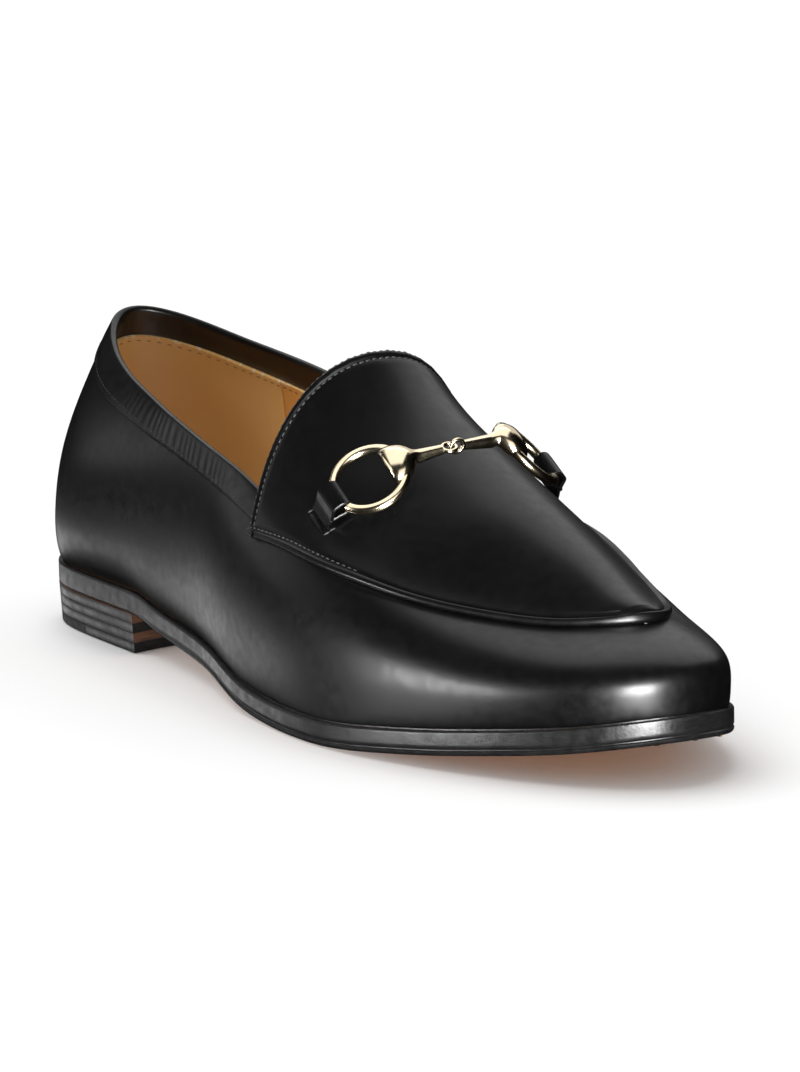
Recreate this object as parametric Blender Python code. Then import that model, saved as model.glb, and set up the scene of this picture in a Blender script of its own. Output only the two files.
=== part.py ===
"""A flat dress loafer with a metal snaffle bit, right foot, in metres.

X runs from heel to toe, Y towards the wearer's left (the inner side of this
foot) and Z up.  The tread and the heel stand on z = 0.  Every piece is drawn
from the same few loops of the last, read at a station t that runs from 0 at
the back of the heel to 1 at the toe, on the outer side (-1) or inner side (1).
"""
import math

import bmesh
import bpy
import numpy as np
from mathutils import Matrix, Vector

# Sole
SOLE_LENGTH = 0.262
SOLE_HALF_WIDTH = 0.0411
SOLE_EDGE = 0.0055
TOE_SPRING = 0.0097
EDGE_ROUND = 0.0006
EDGE_GROOVE = 0.0004

# Heel
HEEL_HEIGHT = 0.0094
HEEL_BREAST = 0.0653
BREAST_HOLLOW = 0.0042
HEEL_TAPER = 0.0007
LIFT_COUNT = 3
TOP_PIECE = 0.0024
TOP_PIECE_JOINT = 0.0295
TOP_PIECE_SLANT = math.radians(15.5)

# Upper
WALL = 0.0020
FEATHER_INSET = 0.0014
BELLY_DRAWN_IN = 0.0006
BELLY_RISE = 0.0120
BELLY_BACK = 0.0010
BELLY_FRONT = 0.0008
COUNTER_HEIGHT = 0.0580
TOPLINE_DRAWN_IN = 0.0071
TOPLINE_BACK = 0.0073
TOPLINE_SIDE = 0.0020
APRON_TIP_SETBACK = 0.0229
APRON_TIP_SIDE = 0.0055
TONGUE_EDGE = 0.1370
TONGUE_RISE = 0.0297
TONGUE_LEAN = 0.0005
RIM_ANGLE = math.radians(45)
ROOF_LEAVE = 1.20
ROOF_ARRIVE = 1.26
BINDING_WIDTH = 0.0075
BINDING_STEP = 0.0005
APRON_THICKNESS = 0.0012

# Insole
INSOLE_THICKNESS = 0.0020
INSOLE_ROOM = 0.0010

# Snaffle bit
BIT_FORWARD = 0.0352
BIT_SIDE = 0.0045
BIT_HALF_SPAN = 0.0183
BIT_CLEARANCE = 0.0016
LINK_CLEARANCE = 0.0026
RING_RADIUS = 0.0084
RING_WIRE = 0.0023
RING_TILT = math.radians(8)
CAP_LENGTH = 0.0110
CAP_WIDTH = 0.0066
CAP_INSET = 0.0012
CAP_HEIGHT = 0.0046
BAR_THICK = 0.0028
BAR_THIN = 0.0016
EYE_RADIUS = 0.0016
EYE_WIRE = 0.0010

# Leather tabs that hold the rings
TAB_WIDTH = 0.0080
TAB_THICKNESS = 0.0008
TAB_TAIL = 0.0022

FIT_GAP = 0.0003

# How finely the loops are read
REAR_STEPS = 20
FRONT_STEPS = 16
TUCK_ROWS = 4
SIDE_ROWS = 5
BINDING_ROWS = 2
ROOF_ROWS = 7
APRON_ROWS = 9
SOLE_STEPS = 36
HEEL_STEPS = 12

SEAT = HEEL_HEIGHT + SOLE_EDGE
BELLY_HALF_WIDTH = SOLE_HALF_WIDTH - BELLY_DRAWN_IN
TOPLINE_HALF_WIDTH = SOLE_HALF_WIDTH - TOPLINE_DRAWN_IN
TAB_SLACK = RING_RADIUS - math.sqrt(RING_RADIUS ** 2 - TAB_WIDTH ** 2 / 4)

# Plan of the sole, the belly (the widest loop of the upper) and the rim (the
# topline, carried on along the shoulder of the vamp to the apron's tip).
# Widths and sides are shares of each loop's own half width.
PLAN = {
    "share": (0, .04, .10, .22, .31, .40, .50, .60, .70, .80, .88, .95, 1),
    "sole_width": (0, .525, .67, .635, .595, .605, .765, .94, 1, .905, .735, .50, 0),
    "sole_side": (0, 0, -.01, -.10, -.17, -.23, -.215, -.13, -.08, -.03, -.005, .01, .01),
    "belly_width": (0, .53, .75, .77, .77, .805, .905, .985, 1, .885, .72, .515, 0),
    "belly_side": (0, .03, -.015, -.06, -.065, -.08, -.105, -.10, -.075, -.055, -.035, 0, .01),
    "rim_width": (0, .365, .55, .725, .775, .815, .86, .90, .94, .875, .68, .425, 0),
    "rim_side": (0, .04, .05, .005, -.08, -.14, -.19, -.225, -.23, -.20, -.125, -.05, 0),
    "rim_height": (1, .935, .865, .79, .745, .695, .64, .545, .445, .34, .28, .26, .275),
    "belly_height": (1.1, 1.05, .95, 1.05, 1.1, 1.1, 1.05, 1, 1, .9, .75, .68, .62),
}

# Underside of the sole: the shank's height above the tread as a share of the
# heel's height, and the toe's as a share of the toe spring.
SHANK = {
    "share": (0, .25, .31, .40, .50, .58, .63, .68, 1),
    "height": (1, 1, .73, .53, .24, .03, 0, 0, 0),
}
SPRING = {
    "share": (0, .63, .68, .80, .88, .95, 1),
    "height": (0, 0, 0, .23, .48, .73, 1),
}

# The crown of the vamp above the shoulder line, from the tongue to the tip,
# and how low on the side the apron's edge runs (a share of belly to rim).
CROWN = {
    "share": (.5565, .60, .70, .80, .88, .95, 1),
    "rise": (1, .82, .62, .525, .40, .20, 0),
    "side": (0, .05, .12, .10, .04, -.02, 0),
    "apron_low": (.665, .735, .83, .955, 1, 1, 1),
}


def station(share):
    """Station of a share of a loop's length."""
    return math.acos(1 - 2 * share) / math.pi


def share_of(t):
    """Share of a loop's length at a station."""
    return (1 - np.cos(np.pi * np.asarray(t, float))) / 2


def spline(knots, values):
    """Natural cubic spline through the knots."""
    x = np.asarray(knots, float)
    y = np.asarray(values, float)
    n = len(x)
    h = np.diff(x)
    rows = np.eye(n)
    right = np.zeros(n)
    for i in range(1, n - 1):
        rows[i, i - 1:i + 2] = h[i - 1], 2 * (h[i - 1] + h[i]), h[i]
        right[i] = 6 * ((y[i + 1] - y[i]) / h[i] - (y[i] - y[i - 1]) / h[i - 1])
    bend = np.linalg.solve(rows, right)

    def read(at):
        at = np.clip(np.asarray(at, float), x[0], x[-1])
        k = np.clip(np.searchsorted(x, at) - 1, 0, n - 2)
        d = x[k + 1] - x[k]
        u = (x[k + 1] - at) / d
        v = (at - x[k]) / d
        curve = ((u ** 3 - u) * bend[k] + (v ** 3 - v) * bend[k + 1]) * d ** 2 / 6
        return u * y[k] + v * y[k + 1] + curve

    return read


def smooth(knots, values):
    """Curve through the knots that never overshoots between them."""
    x = np.asarray(knots, float)
    y = np.asarray(values, float)
    h = np.diff(x)
    slope = np.diff(y) / h
    tangent = np.zeros(len(x))
    for i in range(1, len(x) - 1):
        if slope[i - 1] * slope[i] > 0:
            a = 2 * h[i] + h[i - 1]
            b = h[i] + 2 * h[i - 1]
            tangent[i] = (a + b) / (a / slope[i - 1] + b / slope[i])
    tangent[0] = slope[0] if slope[0] * slope[1] > 0 else 0
    tangent[-1] = slope[-1] if slope[-1] * slope[-2] > 0 else 0

    def read(at):
        at = np.clip(np.asarray(at, float), x[0], x[-1])
        k = np.clip(np.searchsorted(x, at) - 1, 0, len(x) - 2)
        q = (at - x[k]) / h[k]
        return (y[k] * (1 + 2 * q) * (1 - q) ** 2 + y[k + 1] * q * q * (3 - 2 * q)
                + h[k] * tangent[k] * q * (1 - q) ** 2 + h[k] * tangent[k + 1] * q * q * (q - 1))

    return read


PLAN_T = [station(s) for s in PLAN["share"]]
CROWN_T = [station(s) for s in CROWN["share"]]
sole_width = spline(PLAN_T, PLAN["sole_width"])
belly_width = spline(PLAN_T, PLAN["belly_width"])
rim_width = spline(PLAN_T, PLAN["rim_width"])
sole_side = smooth(PLAN["share"], PLAN["sole_side"])
belly_side = smooth(PLAN["share"], PLAN["belly_side"])
rim_side = smooth(PLAN["share"], PLAN["rim_side"])
rim_height = smooth(PLAN["share"], PLAN["rim_height"])
belly_height = smooth(PLAN["share"], PLAN["belly_height"])
shank = smooth(SHANK["share"], SHANK["height"])
spring = smooth(SPRING["share"], SPRING["height"])
crown_rise = spline(CROWN_T, CROWN["rise"])
crown_side = smooth(CROWN["share"], CROWN["side"])
apron_low = smooth(CROWN["share"], CROWN["apron_low"])


def underside(x):
    """Height of the sole's underside at a distance from the back of the heel."""
    s = np.asarray(x, float) / SOLE_LENGTH
    return HEEL_HEIGHT * shank(s) + TOE_SPRING * spring(s)


def along(t, start, end):
    """Distance along a loop that runs from start to end."""
    return start + (end - start) * share_of(t)


def sole_loop(t, side, inset=0.0):
    """Plan points of the sole's edge, drawn in by an inset."""
    x = along(t, inset, SOLE_LENGTH - inset)
    half = SOLE_HALF_WIDTH * sole_width(t) - inset * np.sin(np.pi * t)
    y = SOLE_HALF_WIDTH * sole_side(share_of(t)) + side * half
    return x, y


def feather_loop(t, side):
    """Lower edge of the upper, where it meets the sole."""
    x, y = sole_loop(t, side, FEATHER_INSET)
    return np.stack([x, y, underside(x) + SOLE_EDGE + FIT_GAP + 0 * x], -1)


def belly_loop(t, side):
    """Widest loop of the upper."""
    s = share_of(t)
    x = along(t, BELLY_BACK, SOLE_LENGTH - BELLY_FRONT)
    y = BELLY_HALF_WIDTH * (belly_side(s) + side * belly_width(t))
    z = underside(SOLE_LENGTH * s) + SOLE_EDGE + FIT_GAP + BELLY_RISE * belly_height(s)
    return np.stack([x, y, z], -1)


def rim_x(t):
    """Distance of the rim and the crown from the back of the heel."""
    return along(t, TOPLINE_BACK, SOLE_LENGTH - APRON_TIP_SETBACK)


def rim_centre(t):
    """Middle of the rim across the shoe."""
    s = share_of(t)
    drift = TOPLINE_SIDE + (APRON_TIP_SIDE - TOPLINE_SIDE) * s
    return drift + TOPLINE_HALF_WIDTH * rim_side(s)


def rim_loop(t, side):
    """Topline, carried on along the shoulder of the vamp to the apron's tip."""
    y = rim_centre(t) + side * TOPLINE_HALF_WIDTH * rim_width(t)
    z = SEAT + COUNTER_HEIGHT * rim_height(share_of(t))
    return np.stack([rim_x(t), y, z], -1)


def crown_line(t):
    """Ridge of the vamp from the tongue's peak to the apron's tip."""
    s = share_of(t)
    rise = crown_rise(t)
    x = rim_x(t) + TONGUE_LEAN * rise
    y = rim_centre(t) + TOPLINE_HALF_WIDTH * crown_side(s)
    z = SEAT + COUNTER_HEIGHT * rim_height(s) + TONGUE_RISE * rise
    return np.stack([x, y, z], -1)


def skin(t, side, v):
    """Point of the last's skin.

    v runs from 0 at the feather edge to 1 at the belly, 2 at the rim and 3 at
    the crown.
    """
    t, side, v = np.broadcast_arrays(*(np.asarray(a, float) for a in (t, side, v)))
    feather = feather_loop(t, side)
    belly = belly_loop(t, side)
    rim = rim_loop(t, side)
    turn = np.clip(v, 0, 1)[..., None] * np.pi / 2
    tuck = feather + (belly - feather) * np.sin(turn)
    tuck[..., 2:] = feather[..., 2:] + (belly - feather)[..., 2:] * (1 - np.cos(turn))
    q = np.clip(v - 1, 0, 1)[..., None] * RIM_ANGLE
    side_wall = belly + (rim - belly) * (1 - np.cos(q)) / (1 - math.cos(RIM_ANGLE))
    side_wall[..., 2:] = belly[..., 2:] + (rim - belly)[..., 2:] * np.sin(q) / math.sin(RIM_ANGLE)
    crown = crown_line(t)
    w = np.clip(v - 2, 0, 1)[..., None]
    across = math.sin(RIM_ANGLE) / (1 - math.cos(RIM_ANGLE))
    leave = (rim - belly) * np.array([across, across, 1 / math.tan(RIM_ANGLE)])
    arrive = (crown - rim) * np.array([0, 1, 0])
    span = np.linalg.norm(crown - rim, axis=-1, keepdims=True)
    leave = leave * ROOF_LEAVE * span / np.maximum(np.linalg.norm(leave, axis=-1, keepdims=True), 1e-9)
    arrive = arrive * ROOF_ARRIVE * span / np.maximum(np.linalg.norm(arrive, axis=-1, keepdims=True), 1e-9)
    roof = (rim * (1 + 2 * w) * (1 - w) ** 2 + crown * w * w * (3 - 2 * w)
            + leave * w * (1 - w) ** 2 + arrive * w * w * (w - 1))
    v = v[..., None]
    return np.where(v <= 1, tuck, np.where(v <= 2, side_wall, roof))


def skin_normal(t, side, v):
    """Outward direction of the last's skin."""
    t, side, v = np.broadcast_arrays(*(np.asarray(a, float) for a in (t, side, v)))
    tip = t > 1 - 1e-4
    v = np.where(tip, np.minimum(v, 2), v)
    h = 2e-3
    low = np.maximum(v - h, 0)
    high = np.where(v <= 2, np.minimum(v + h, 2), np.minimum(v + h, 3))
    up = skin(t, side, high) - skin(t, side, low)

    def mirrored(at):
        flip = (at < 0) | (at > 1)
        inside = np.where(at < 0, -at, np.where(at > 1, 2 - at, at))
        roof = flip & (v > 2)
        return skin(np.where(roof, t, inside), np.where(flip & ~roof, -side, side), v)

    ahead = mirrored(t + h) - mirrored(t - h)
    out = np.cross(ahead, up) * side[..., None] * -1
    return out / np.maximum(np.linalg.norm(out, axis=-1, keepdims=True), 1e-12)


def offset_skin(t, side, v, out):
    """Point at a distance outward from the last's skin."""
    return skin(t, side, v) + skin_normal(t, side, v) * np.asarray(out)[..., None]


# Building the pieces

for old in list(bpy.data.objects):
    bpy.data.objects.remove(old, do_unlink=True)

shoe = bpy.data.objects.new("bit_loafer", None)
bpy.context.scene.collection.objects.link(shoe)
pieces = []


def paint(name, colour, roughness, metallic=0.0):
    """Material with one colour."""
    material = bpy.data.materials.new(name)
    material.use_nodes = True
    shader = material.node_tree.nodes["Principled BSDF"]
    shader.inputs["Base Color"].default_value = (*colour, 1)
    shader.inputs["Roughness"].default_value = roughness
    shader.inputs["Metallic"].default_value = metallic
    material.diffuse_color = (*colour, 1)
    return material


def add_piece(name, mesh, material, parent=shoe):
    """Object for one piece, closed and facing out, under the shoe's empty."""
    work = bmesh.new()
    work.from_mesh(mesh)
    bmesh.ops.recalc_face_normals(work, faces=work.faces)
    if work.calc_volume(signed=True) < 0:
        bmesh.ops.reverse_faces(work, faces=work.faces)
    work.to_mesh(mesh)
    work.free()
    mesh.shade_smooth()
    mesh.set_sharp_from_angle(angle=math.radians(35))
    mesh.materials.append(material)
    piece = bpy.data.objects.new(name, mesh)
    bpy.context.scene.collection.objects.link(piece)
    piece.parent = parent
    pieces.append(piece)
    return piece


def mesh_from(name, points, faces):
    """Mesh from points and faces."""
    mesh = bpy.data.meshes.new(name)
    mesh.from_pydata([tuple(p) for p in points], [], faces)
    return mesh


def mesh_of_loops(name, loops, split):
    """Closed mesh between a stack of closed loops.

    split is the number of steps from the first point to the one opposite it;
    the ends are then closed by strips from side to side, or by one flat face
    where it is 0.
    """
    count = len(loops[0])
    points = np.concatenate(loops)
    faces = []
    for level in range(len(loops) - 1):
        low = level * count
        for i in range(count):
            j = (i + 1) % count
            faces.append((low + i, low + j, low + count + j, low + count + i))
    for low in (0, (len(loops) - 1) * count):
        if not split:
            faces.append(tuple(range(low, low + count)))
            continue
        for i in range(split):
            near = (low + i, low + i + 1)
            far = (low + (count - i) % count, low + (count - i - 1) % count)
            corners = list(dict.fromkeys((near[0], near[1], far[1], far[0])))
            faces.append(tuple(corners))
    return mesh_from(name, points, faces)


def both_sides(stations):
    """Stations and sides of a closed loop, outer side first."""
    back = stations[-2:0:-1]
    t = np.concatenate([stations, back])
    side = np.concatenate([-np.ones(len(stations)), np.ones(len(back))])
    return t, side


# Outsole: the edge's profile, from the tread up.  Insets are shares of the
# edge's rounding and groove, heights are shares of the edge.
EDGE = {
    "height": (0, .05, .14, .20, .25, .30, .88, 1),
    "round": (1, .3, 0, 0, 0, 0, 0, 1),
    "groove": (0, 0, 0, 0, 1, 0, 0, 0),
}
GROOVE_FROM = HEEL_BREAST / SOLE_LENGTH


def outsole_mesh():
    """Sole with its outline, arch, toe spring and grooved edge."""
    t, side = both_sides(np.linspace(0, 1, SOLE_STEPS + 1))
    x, y = sole_loop(t, side)
    base = underside(x)
    fade = np.clip((share_of(t) - GROOVE_FROM) / GROOVE_FROM, 0, 1)
    loops = []
    for height, rounding, groove in zip(EDGE["height"], EDGE["round"], EDGE["groove"]):
        inset = EDGE_ROUND * rounding + EDGE_GROOVE * groove * fade
        x, y = sole_loop(t, side, inset)
        loops.append(np.stack([x, y, base + SOLE_EDGE * height], -1))
    return mesh_of_loops("outsole", loops, SOLE_STEPS)


def heel_inset(z):
    """How far the heel's side lies inside the sole's outline at a height."""
    return HEEL_TAPER * (1 - z / HEEL_HEIGHT)


def station_at(side, inset, reach, slant=0.0):
    """Station where the sole's outline crosses a line across the heel."""
    t = np.linspace(0, 0.6, 600)
    x, y = sole_loop(t, side, inset)
    return float(np.interp(reach, x + y * math.tan(slant), t))


def heel_loop(z, start=None, shift=0.0):
    """Outline of the heel at a height, whole or only in front of the joint."""
    inset = heel_inset(z)
    ends = [station_at(side, inset, HEEL_BREAST) for side in (-1, 1)]
    begins = [0.0, 0.0]
    if start is not None:
        begins = [station_at(side, inset, start + shift, TOP_PIECE_SLANT) for side in (-1, 1)]
    outer = np.stack(sole_loop(np.linspace(begins[0], ends[0], HEEL_STEPS), -1, inset), -1)
    inner = np.stack(sole_loop(np.linspace(ends[1], begins[1], HEEL_STEPS), 1, inset), -1)
    if start is None:
        inner = inner[:-1]
    q = np.linspace(-1, 1, HEEL_STEPS + 1)[1:-1, None]
    breast = outer[-1] * (1 - q) / 2 + inner[0] * (1 + q) / 2
    breast[:, :1] -= BREAST_HOLLOW * (1 - q * q)
    plan = np.concatenate([outer, breast, inner])
    return np.column_stack([plan, np.full(len(plan), z)])


def heel_back_loop(z, shift):
    """Outline of the heel behind the joint at a height."""
    inset = heel_inset(z)
    ends = [station_at(side, inset, TOP_PIECE_JOINT + shift, TOP_PIECE_SLANT) for side in (-1, 1)]
    outer = np.stack(sole_loop(np.linspace(0, ends[0], HEEL_STEPS), -1, inset), -1)
    inner = np.stack(sole_loop(np.linspace(ends[1], 0, HEEL_STEPS)[:-1], 1, inset), -1)
    plan = np.concatenate([outer, inner])
    return np.column_stack([plan, np.full(len(plan), z)])


leather = paint("calf", (0.012, 0.012, 0.013), 0.22)
edge_paint = paint("sole_edge", (0.030, 0.030, 0.032), 0.45)
tan = paint("sole_leather", (0.55, 0.33, 0.15), 0.6)
lining = paint("lining", (0.52, 0.27, 0.09), 0.6)
rubber = paint("rubber", (0.02, 0.02, 0.02), 0.7)
lift_brown = paint("lift_leather", (0.16, 0.07, 0.03), 0.6)
gold = paint("pale_gold", (0.83, 0.71, 0.47), 0.18, 1.0)

add_piece("outsole", outsole_mesh(), tan)

lift = (HEEL_HEIGHT - TOP_PIECE - FIT_GAP * (LIFT_COUNT + 1)) / LIFT_COUNT
for number in range(LIFT_COUNT):
    low = TOP_PIECE + FIT_GAP + number * (lift + FIT_GAP)
    levels = [heel_loop(low), heel_loop(low + lift)]
    name = "heel_lift_%d" % (number + 1)
    add_piece(name, mesh_of_loops(name, levels, 0), rubber if number % 2 else lift_brown)

levels = [heel_loop(z, TOP_PIECE_JOINT, FIT_GAP / 2) for z in (0, TOP_PIECE)]
add_piece("heel_top_leather", mesh_of_loops("heel_top_leather", levels, 0), tan)
levels = [heel_back_loop(z, -FIT_GAP / 2) for z in (0, TOP_PIECE)]
add_piece("heel_top_rubber", mesh_of_loops("heel_top_rubber", levels, 0), rubber)


# Upper: one wall from the feather edge to the topline, closed over the vamp.
TONGUE_T = station((TONGUE_EDGE - TOPLINE_BACK) / (SOLE_LENGTH - APRON_TIP_SETBACK - TOPLINE_BACK))
STATIONS = np.concatenate([np.linspace(0, TONGUE_T, REAR_STEPS + 1),
                           np.linspace(TONGUE_T, 1, FRONT_STEPS + 1)[1:]])


def binding_v(t, side):
    """Where the binding's lower edge lies between the belly (1) and the rim (2)."""
    side_height = np.linalg.norm(rim_loop(t, side) - belly_loop(t, side), axis=-1)
    return 2 - BINDING_WIDTH / side_height, FIT_GAP / side_height


def inner_skin(t, side, v):
    """Inside of the wall."""
    t, side, v = np.broadcast_arrays(*(np.asarray(a, float) for a in (t, side, v)))
    outward = skin_normal(t, side, np.maximum(v, 1))
    low = np.clip(1 - v, 0, 1)[..., None]
    drop = outward * (1 - 0.2 * low) - np.array([0, 0, 0.8]) * low
    return skin(t, side, v) - WALL * drop


def upper_mesh():
    """The upper as one hollow solid, open at the collar and underneath."""
    t, side = both_sides(STATIONS)
    columns = len(t)
    tip = len(STATIONS) - 1
    rear = (t <= TONGUE_T + 1e-9)
    step = np.where(t < TONGUE_T - 1e-9, BINDING_STEP, 0.0)
    band, bevel = binding_v(t, side)
    points = []
    faces = []

    def add(new):
        start = sum(len(p) for p in points)
        points.append(new)
        return list(range(start, start + len(new)))

    flat = np.zeros(columns)
    outer = [add(offset_skin(t, side, flat + v, flat)) if v >= 1 else add(skin(t, side, flat + v))
             for v in np.linspace(0, 1, TUCK_ROWS + 1)]
    for q in np.linspace(0, 1, SIDE_ROWS + 1)[1:]:
        outer.append(add(offset_skin(t, side, 1 + (band - 1) * q, flat)))
    for q in np.linspace(0, 1, BINDING_ROWS + 1):
        at = band + bevel + (2 - band - bevel) * q
        outer.append(add(offset_skin(t, side, at, step)))
    inner = [add(inner_skin(t, side, flat + v)) for v in np.linspace(0, 1, TUCK_ROWS + 1)]
    for q in np.linspace(0, 1, SIDE_ROWS + BINDING_ROWS + 1)[1:]:
        inner.append(add(inner_skin(t, side, flat + 1 + q)))

    roof_at = range(REAR_STEPS, tip)
    across = np.linspace(2, 3, ROOF_ROWS + 1)[1:]

    def roof(rim, place):
        rows = []
        for k in roof_at:
            one = add(place(np.full(ROOF_ROWS, STATIONS[k]), -1, across))
            two = add(place(np.full(ROOF_ROWS - 1, STATIONS[k]), 1, across[-2::-1]))
            rows.append([rim[k], *one, *two, rim[(columns - k) % columns]])
        rows.append([rim[tip]] * len(rows[0]))
        return rows

    outer_roof = roof(outer[-1], lambda a, b, c: offset_skin(a, b, c, np.zeros(len(a))))
    inner_roof = roof(inner[-1], inner_skin)

    def quads(low, high, closed):
        for i in range(len(low) if closed else len(low) - 1):
            j = (i + 1) % len(low)
            corners = list(dict.fromkeys((low[i], low[j], high[j], high[i])))
            if len(corners) > 2:
                faces.append(tuple(corners))

    for stack in (outer, inner):
        for low, high in zip(stack[:-1], stack[1:]):
            quads(low, high, True)
    for rows in (outer_roof, inner_roof):
        for low, high in zip(rows[:-1], rows[1:]):
            quads(low, high, False)
    quads(outer[0], inner[0], True)

    ring = [k for k in range(REAR_STEPS, -1, -1)]
    ring += [columns - k for k in range(1, REAR_STEPS)]
    lip_out = [outer[-1][k] for k in ring] + outer_roof[0][:0:-1]
    lip_in = [inner[-1][k] for k in ring] + inner_roof[0][:0:-1]
    every = np.concatenate(points)
    a = every[lip_out]
    b = every[lip_in]
    away = []
    for k in ring:
        up = skin(t[k], side[k], 2) - skin(t[k], side[k], 1.9)
        away.append(up / np.linalg.norm(up))
    count = len(lip_out) - len(ring)
    blend = np.linspace(0, 1, count + 2)[1:-1]
    away += [np.array([-1.0, 0, 0.25])] * count
    away = np.array(away)
    middle = add((a + b) / 2 + away * WALL * 0.32)
    quads(lip_out, middle, True)
    quads(middle, lip_in, True)
    return mesh_from("upper", np.concatenate(points), faces)


add_piece("upper", upper_mesh(), leather)


# Apron: the plug and tongue in one piece, laid over the upper's vamp.
APRON_TOP = FIT_GAP + APRON_THICKNESS


def apron_points(out):
    """Grid of the apron at a distance above the upper, and its faces."""
    rows = []
    for t in STATIONS[REAR_STEPS:-1]:
        low = 1 + float(apron_low(share_of(t)))
        v = np.linspace(low, 3, APRON_ROWS + 1)
        outer = offset_skin(t, -1, v, np.full(len(v), out))
        inner = offset_skin(t, 1, v[-2::-1], np.full(len(v) - 1, out))
        rows.append(np.concatenate([outer, inner]))
    tip = offset_skin(1.0, -1, 2.0, out)
    return rows, tip


def apron_mesh():
    """Closed sheet over the vamp, from the tongue's edge to the tip."""
    points = []
    sheets = []
    for out in (FIT_GAP, APRON_TOP):
        rows, tip = apron_points(out)
        sheet = []
        for row in rows:
            sheet.append(list(range(len(points), len(points) + len(row))))
            points.extend(row)
        sheet.append([len(points)] * len(rows[0]))
        points.append(tip)
        sheets.append(sheet)
    faces = []

    def quad(*corners):
        corners = tuple(dict.fromkeys(corners))
        if len(corners) > 2:
            faces.append(corners)

    for sheet in sheets:
        for low, high in zip(sheet[:-1], sheet[1:]):
            for i in range(len(low) - 1):
                quad(low[i], low[i + 1], high[i + 1], high[i])
    under, over = sheets
    for edge in (0, -1):
        for k in range(len(under) - 1):
            quad(under[k][edge], under[k + 1][edge], over[k + 1][edge], over[k][edge])
    for i in range(len(under[0]) - 1):
        quad(under[0][i], under[0][i + 1], over[0][i + 1], over[0][i])
    return mesh_from("apron", points, faces)


add_piece("apron", apron_mesh(), leather)


def insole_mesh():
    """Thin sheet inside the feather edge."""
    t, side = both_sides(np.linspace(0, 1, SOLE_STEPS + 1))
    inset = FEATHER_INSET + WALL + INSOLE_ROOM
    x, y = sole_loop(t, side, inset)
    base = underside(x) + SOLE_EDGE + FIT_GAP
    loops = [np.stack([x, y, base + rise], -1) for rise in (0, INSOLE_THICKNESS)]
    return mesh_of_loops("insole", loops, SOLE_STEPS)


add_piece("insole", insole_mesh(), lining)


# Snaffle bit, laid across the vamp.
BIT_T = station((TONGUE_EDGE + BIT_FORWARD - TOPLINE_BACK)
                / (SOLE_LENGTH - APRON_TIP_SETBACK - TOPLINE_BACK))


def across_vamp(reach, height):
    """Point and outward direction at a distance across the vamp from its crown."""
    side = -1 if reach < 0 else 1
    v = np.linspace(3, 1.5, 240)
    distance = np.linalg.norm(skin(BIT_T, side, v) - crown_line(BIT_T), axis=-1)
    at = float(np.interp(abs(reach), distance, v))
    outward = skin_normal(BIT_T, side, at)
    point = skin(BIT_T, side, at) + outward * (APRON_TOP + height)
    return Vector(point), Vector(outward)


def frame_of(point, first, outward):
    """Matrix with its X near a direction, its Z outward and its origin at a point."""
    third = outward.normalized()
    one = (first - third * first.dot(third)).normalized()
    two = third.cross(one)
    return Matrix((
        (one.x, two.x, third.x, point.x),
        (one.y, two.y, third.y, point.y),
        (one.z, two.z, third.z, point.z),
        (0, 0, 0, 1)))


def torus_mesh(name, radius, wire, steps, sides):
    """Ring about Z."""
    around = np.linspace(0, 2 * np.pi, steps, endpoint=False)[:, None]
    section = np.linspace(0, 2 * np.pi, sides, endpoint=False)[None]
    reach = radius + wire / 2 * np.cos(section)
    points = np.stack([reach * np.cos(around), reach * np.sin(around),
                       wire / 2 * np.sin(section) + 0 * around], -1).reshape(-1, 3)
    faces = []
    for i in range(steps):
        for j in range(sides):
            k = (j + 1) % sides
            n = (i + 1) % steps
            faces.append((i * sides + j, n * sides + j, n * sides + k, i * sides + k))
    return mesh_from(name, points, faces)


def tool(name, mesh, target, operation):
    """Shape that is joined to a piece, or cut from it, and left out itself."""
    work = bmesh.new()
    work.from_mesh(mesh)
    bmesh.ops.recalc_face_normals(work, faces=work.faces)
    work.to_mesh(mesh)
    work.free()
    shape = bpy.data.objects.new(name, mesh)
    bpy.context.scene.collection.objects.link(shape)
    shape.parent = shoe
    shape.hide_render = True
    shape.display_type = "WIRE"
    modifier = target.modifiers.new(name, "BOOLEAN")
    modifier.operation = operation
    modifier.solver = "EXACT"
    modifier.object = shape
    return shape


link, link_out = across_vamp(-BIT_SIDE, LINK_CLEARANCE)
seats = {}
for word, way in (("outer", -1), ("inner", 1)):
    centre, outward = across_vamp(-BIT_SIDE + way * BIT_HALF_SPAN, BIT_CLEARANCE + RING_WIRE / 2)
    seats[word] = frame_of(centre, link - centre, outward) @ Matrix.Rotation(-way * RING_TILT, 4, "X")
caps = {word: seat @ Vector((RING_RADIUS - CAP_INSET, 0, 0)) for word, seat in seats.items()}
chain = (caps["inner"] - caps["outer"]).normalized()
pull = EYE_RADIUS - (EYE_WIRE + FIT_GAP) / 2
eyes = {
    "outer": frame_of(link - chain * pull, chain, link_out),
    "inner": frame_of(link + chain * pull, chain, link_out) @ Matrix.Rotation(math.pi / 2, 4, "X"),
}

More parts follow.
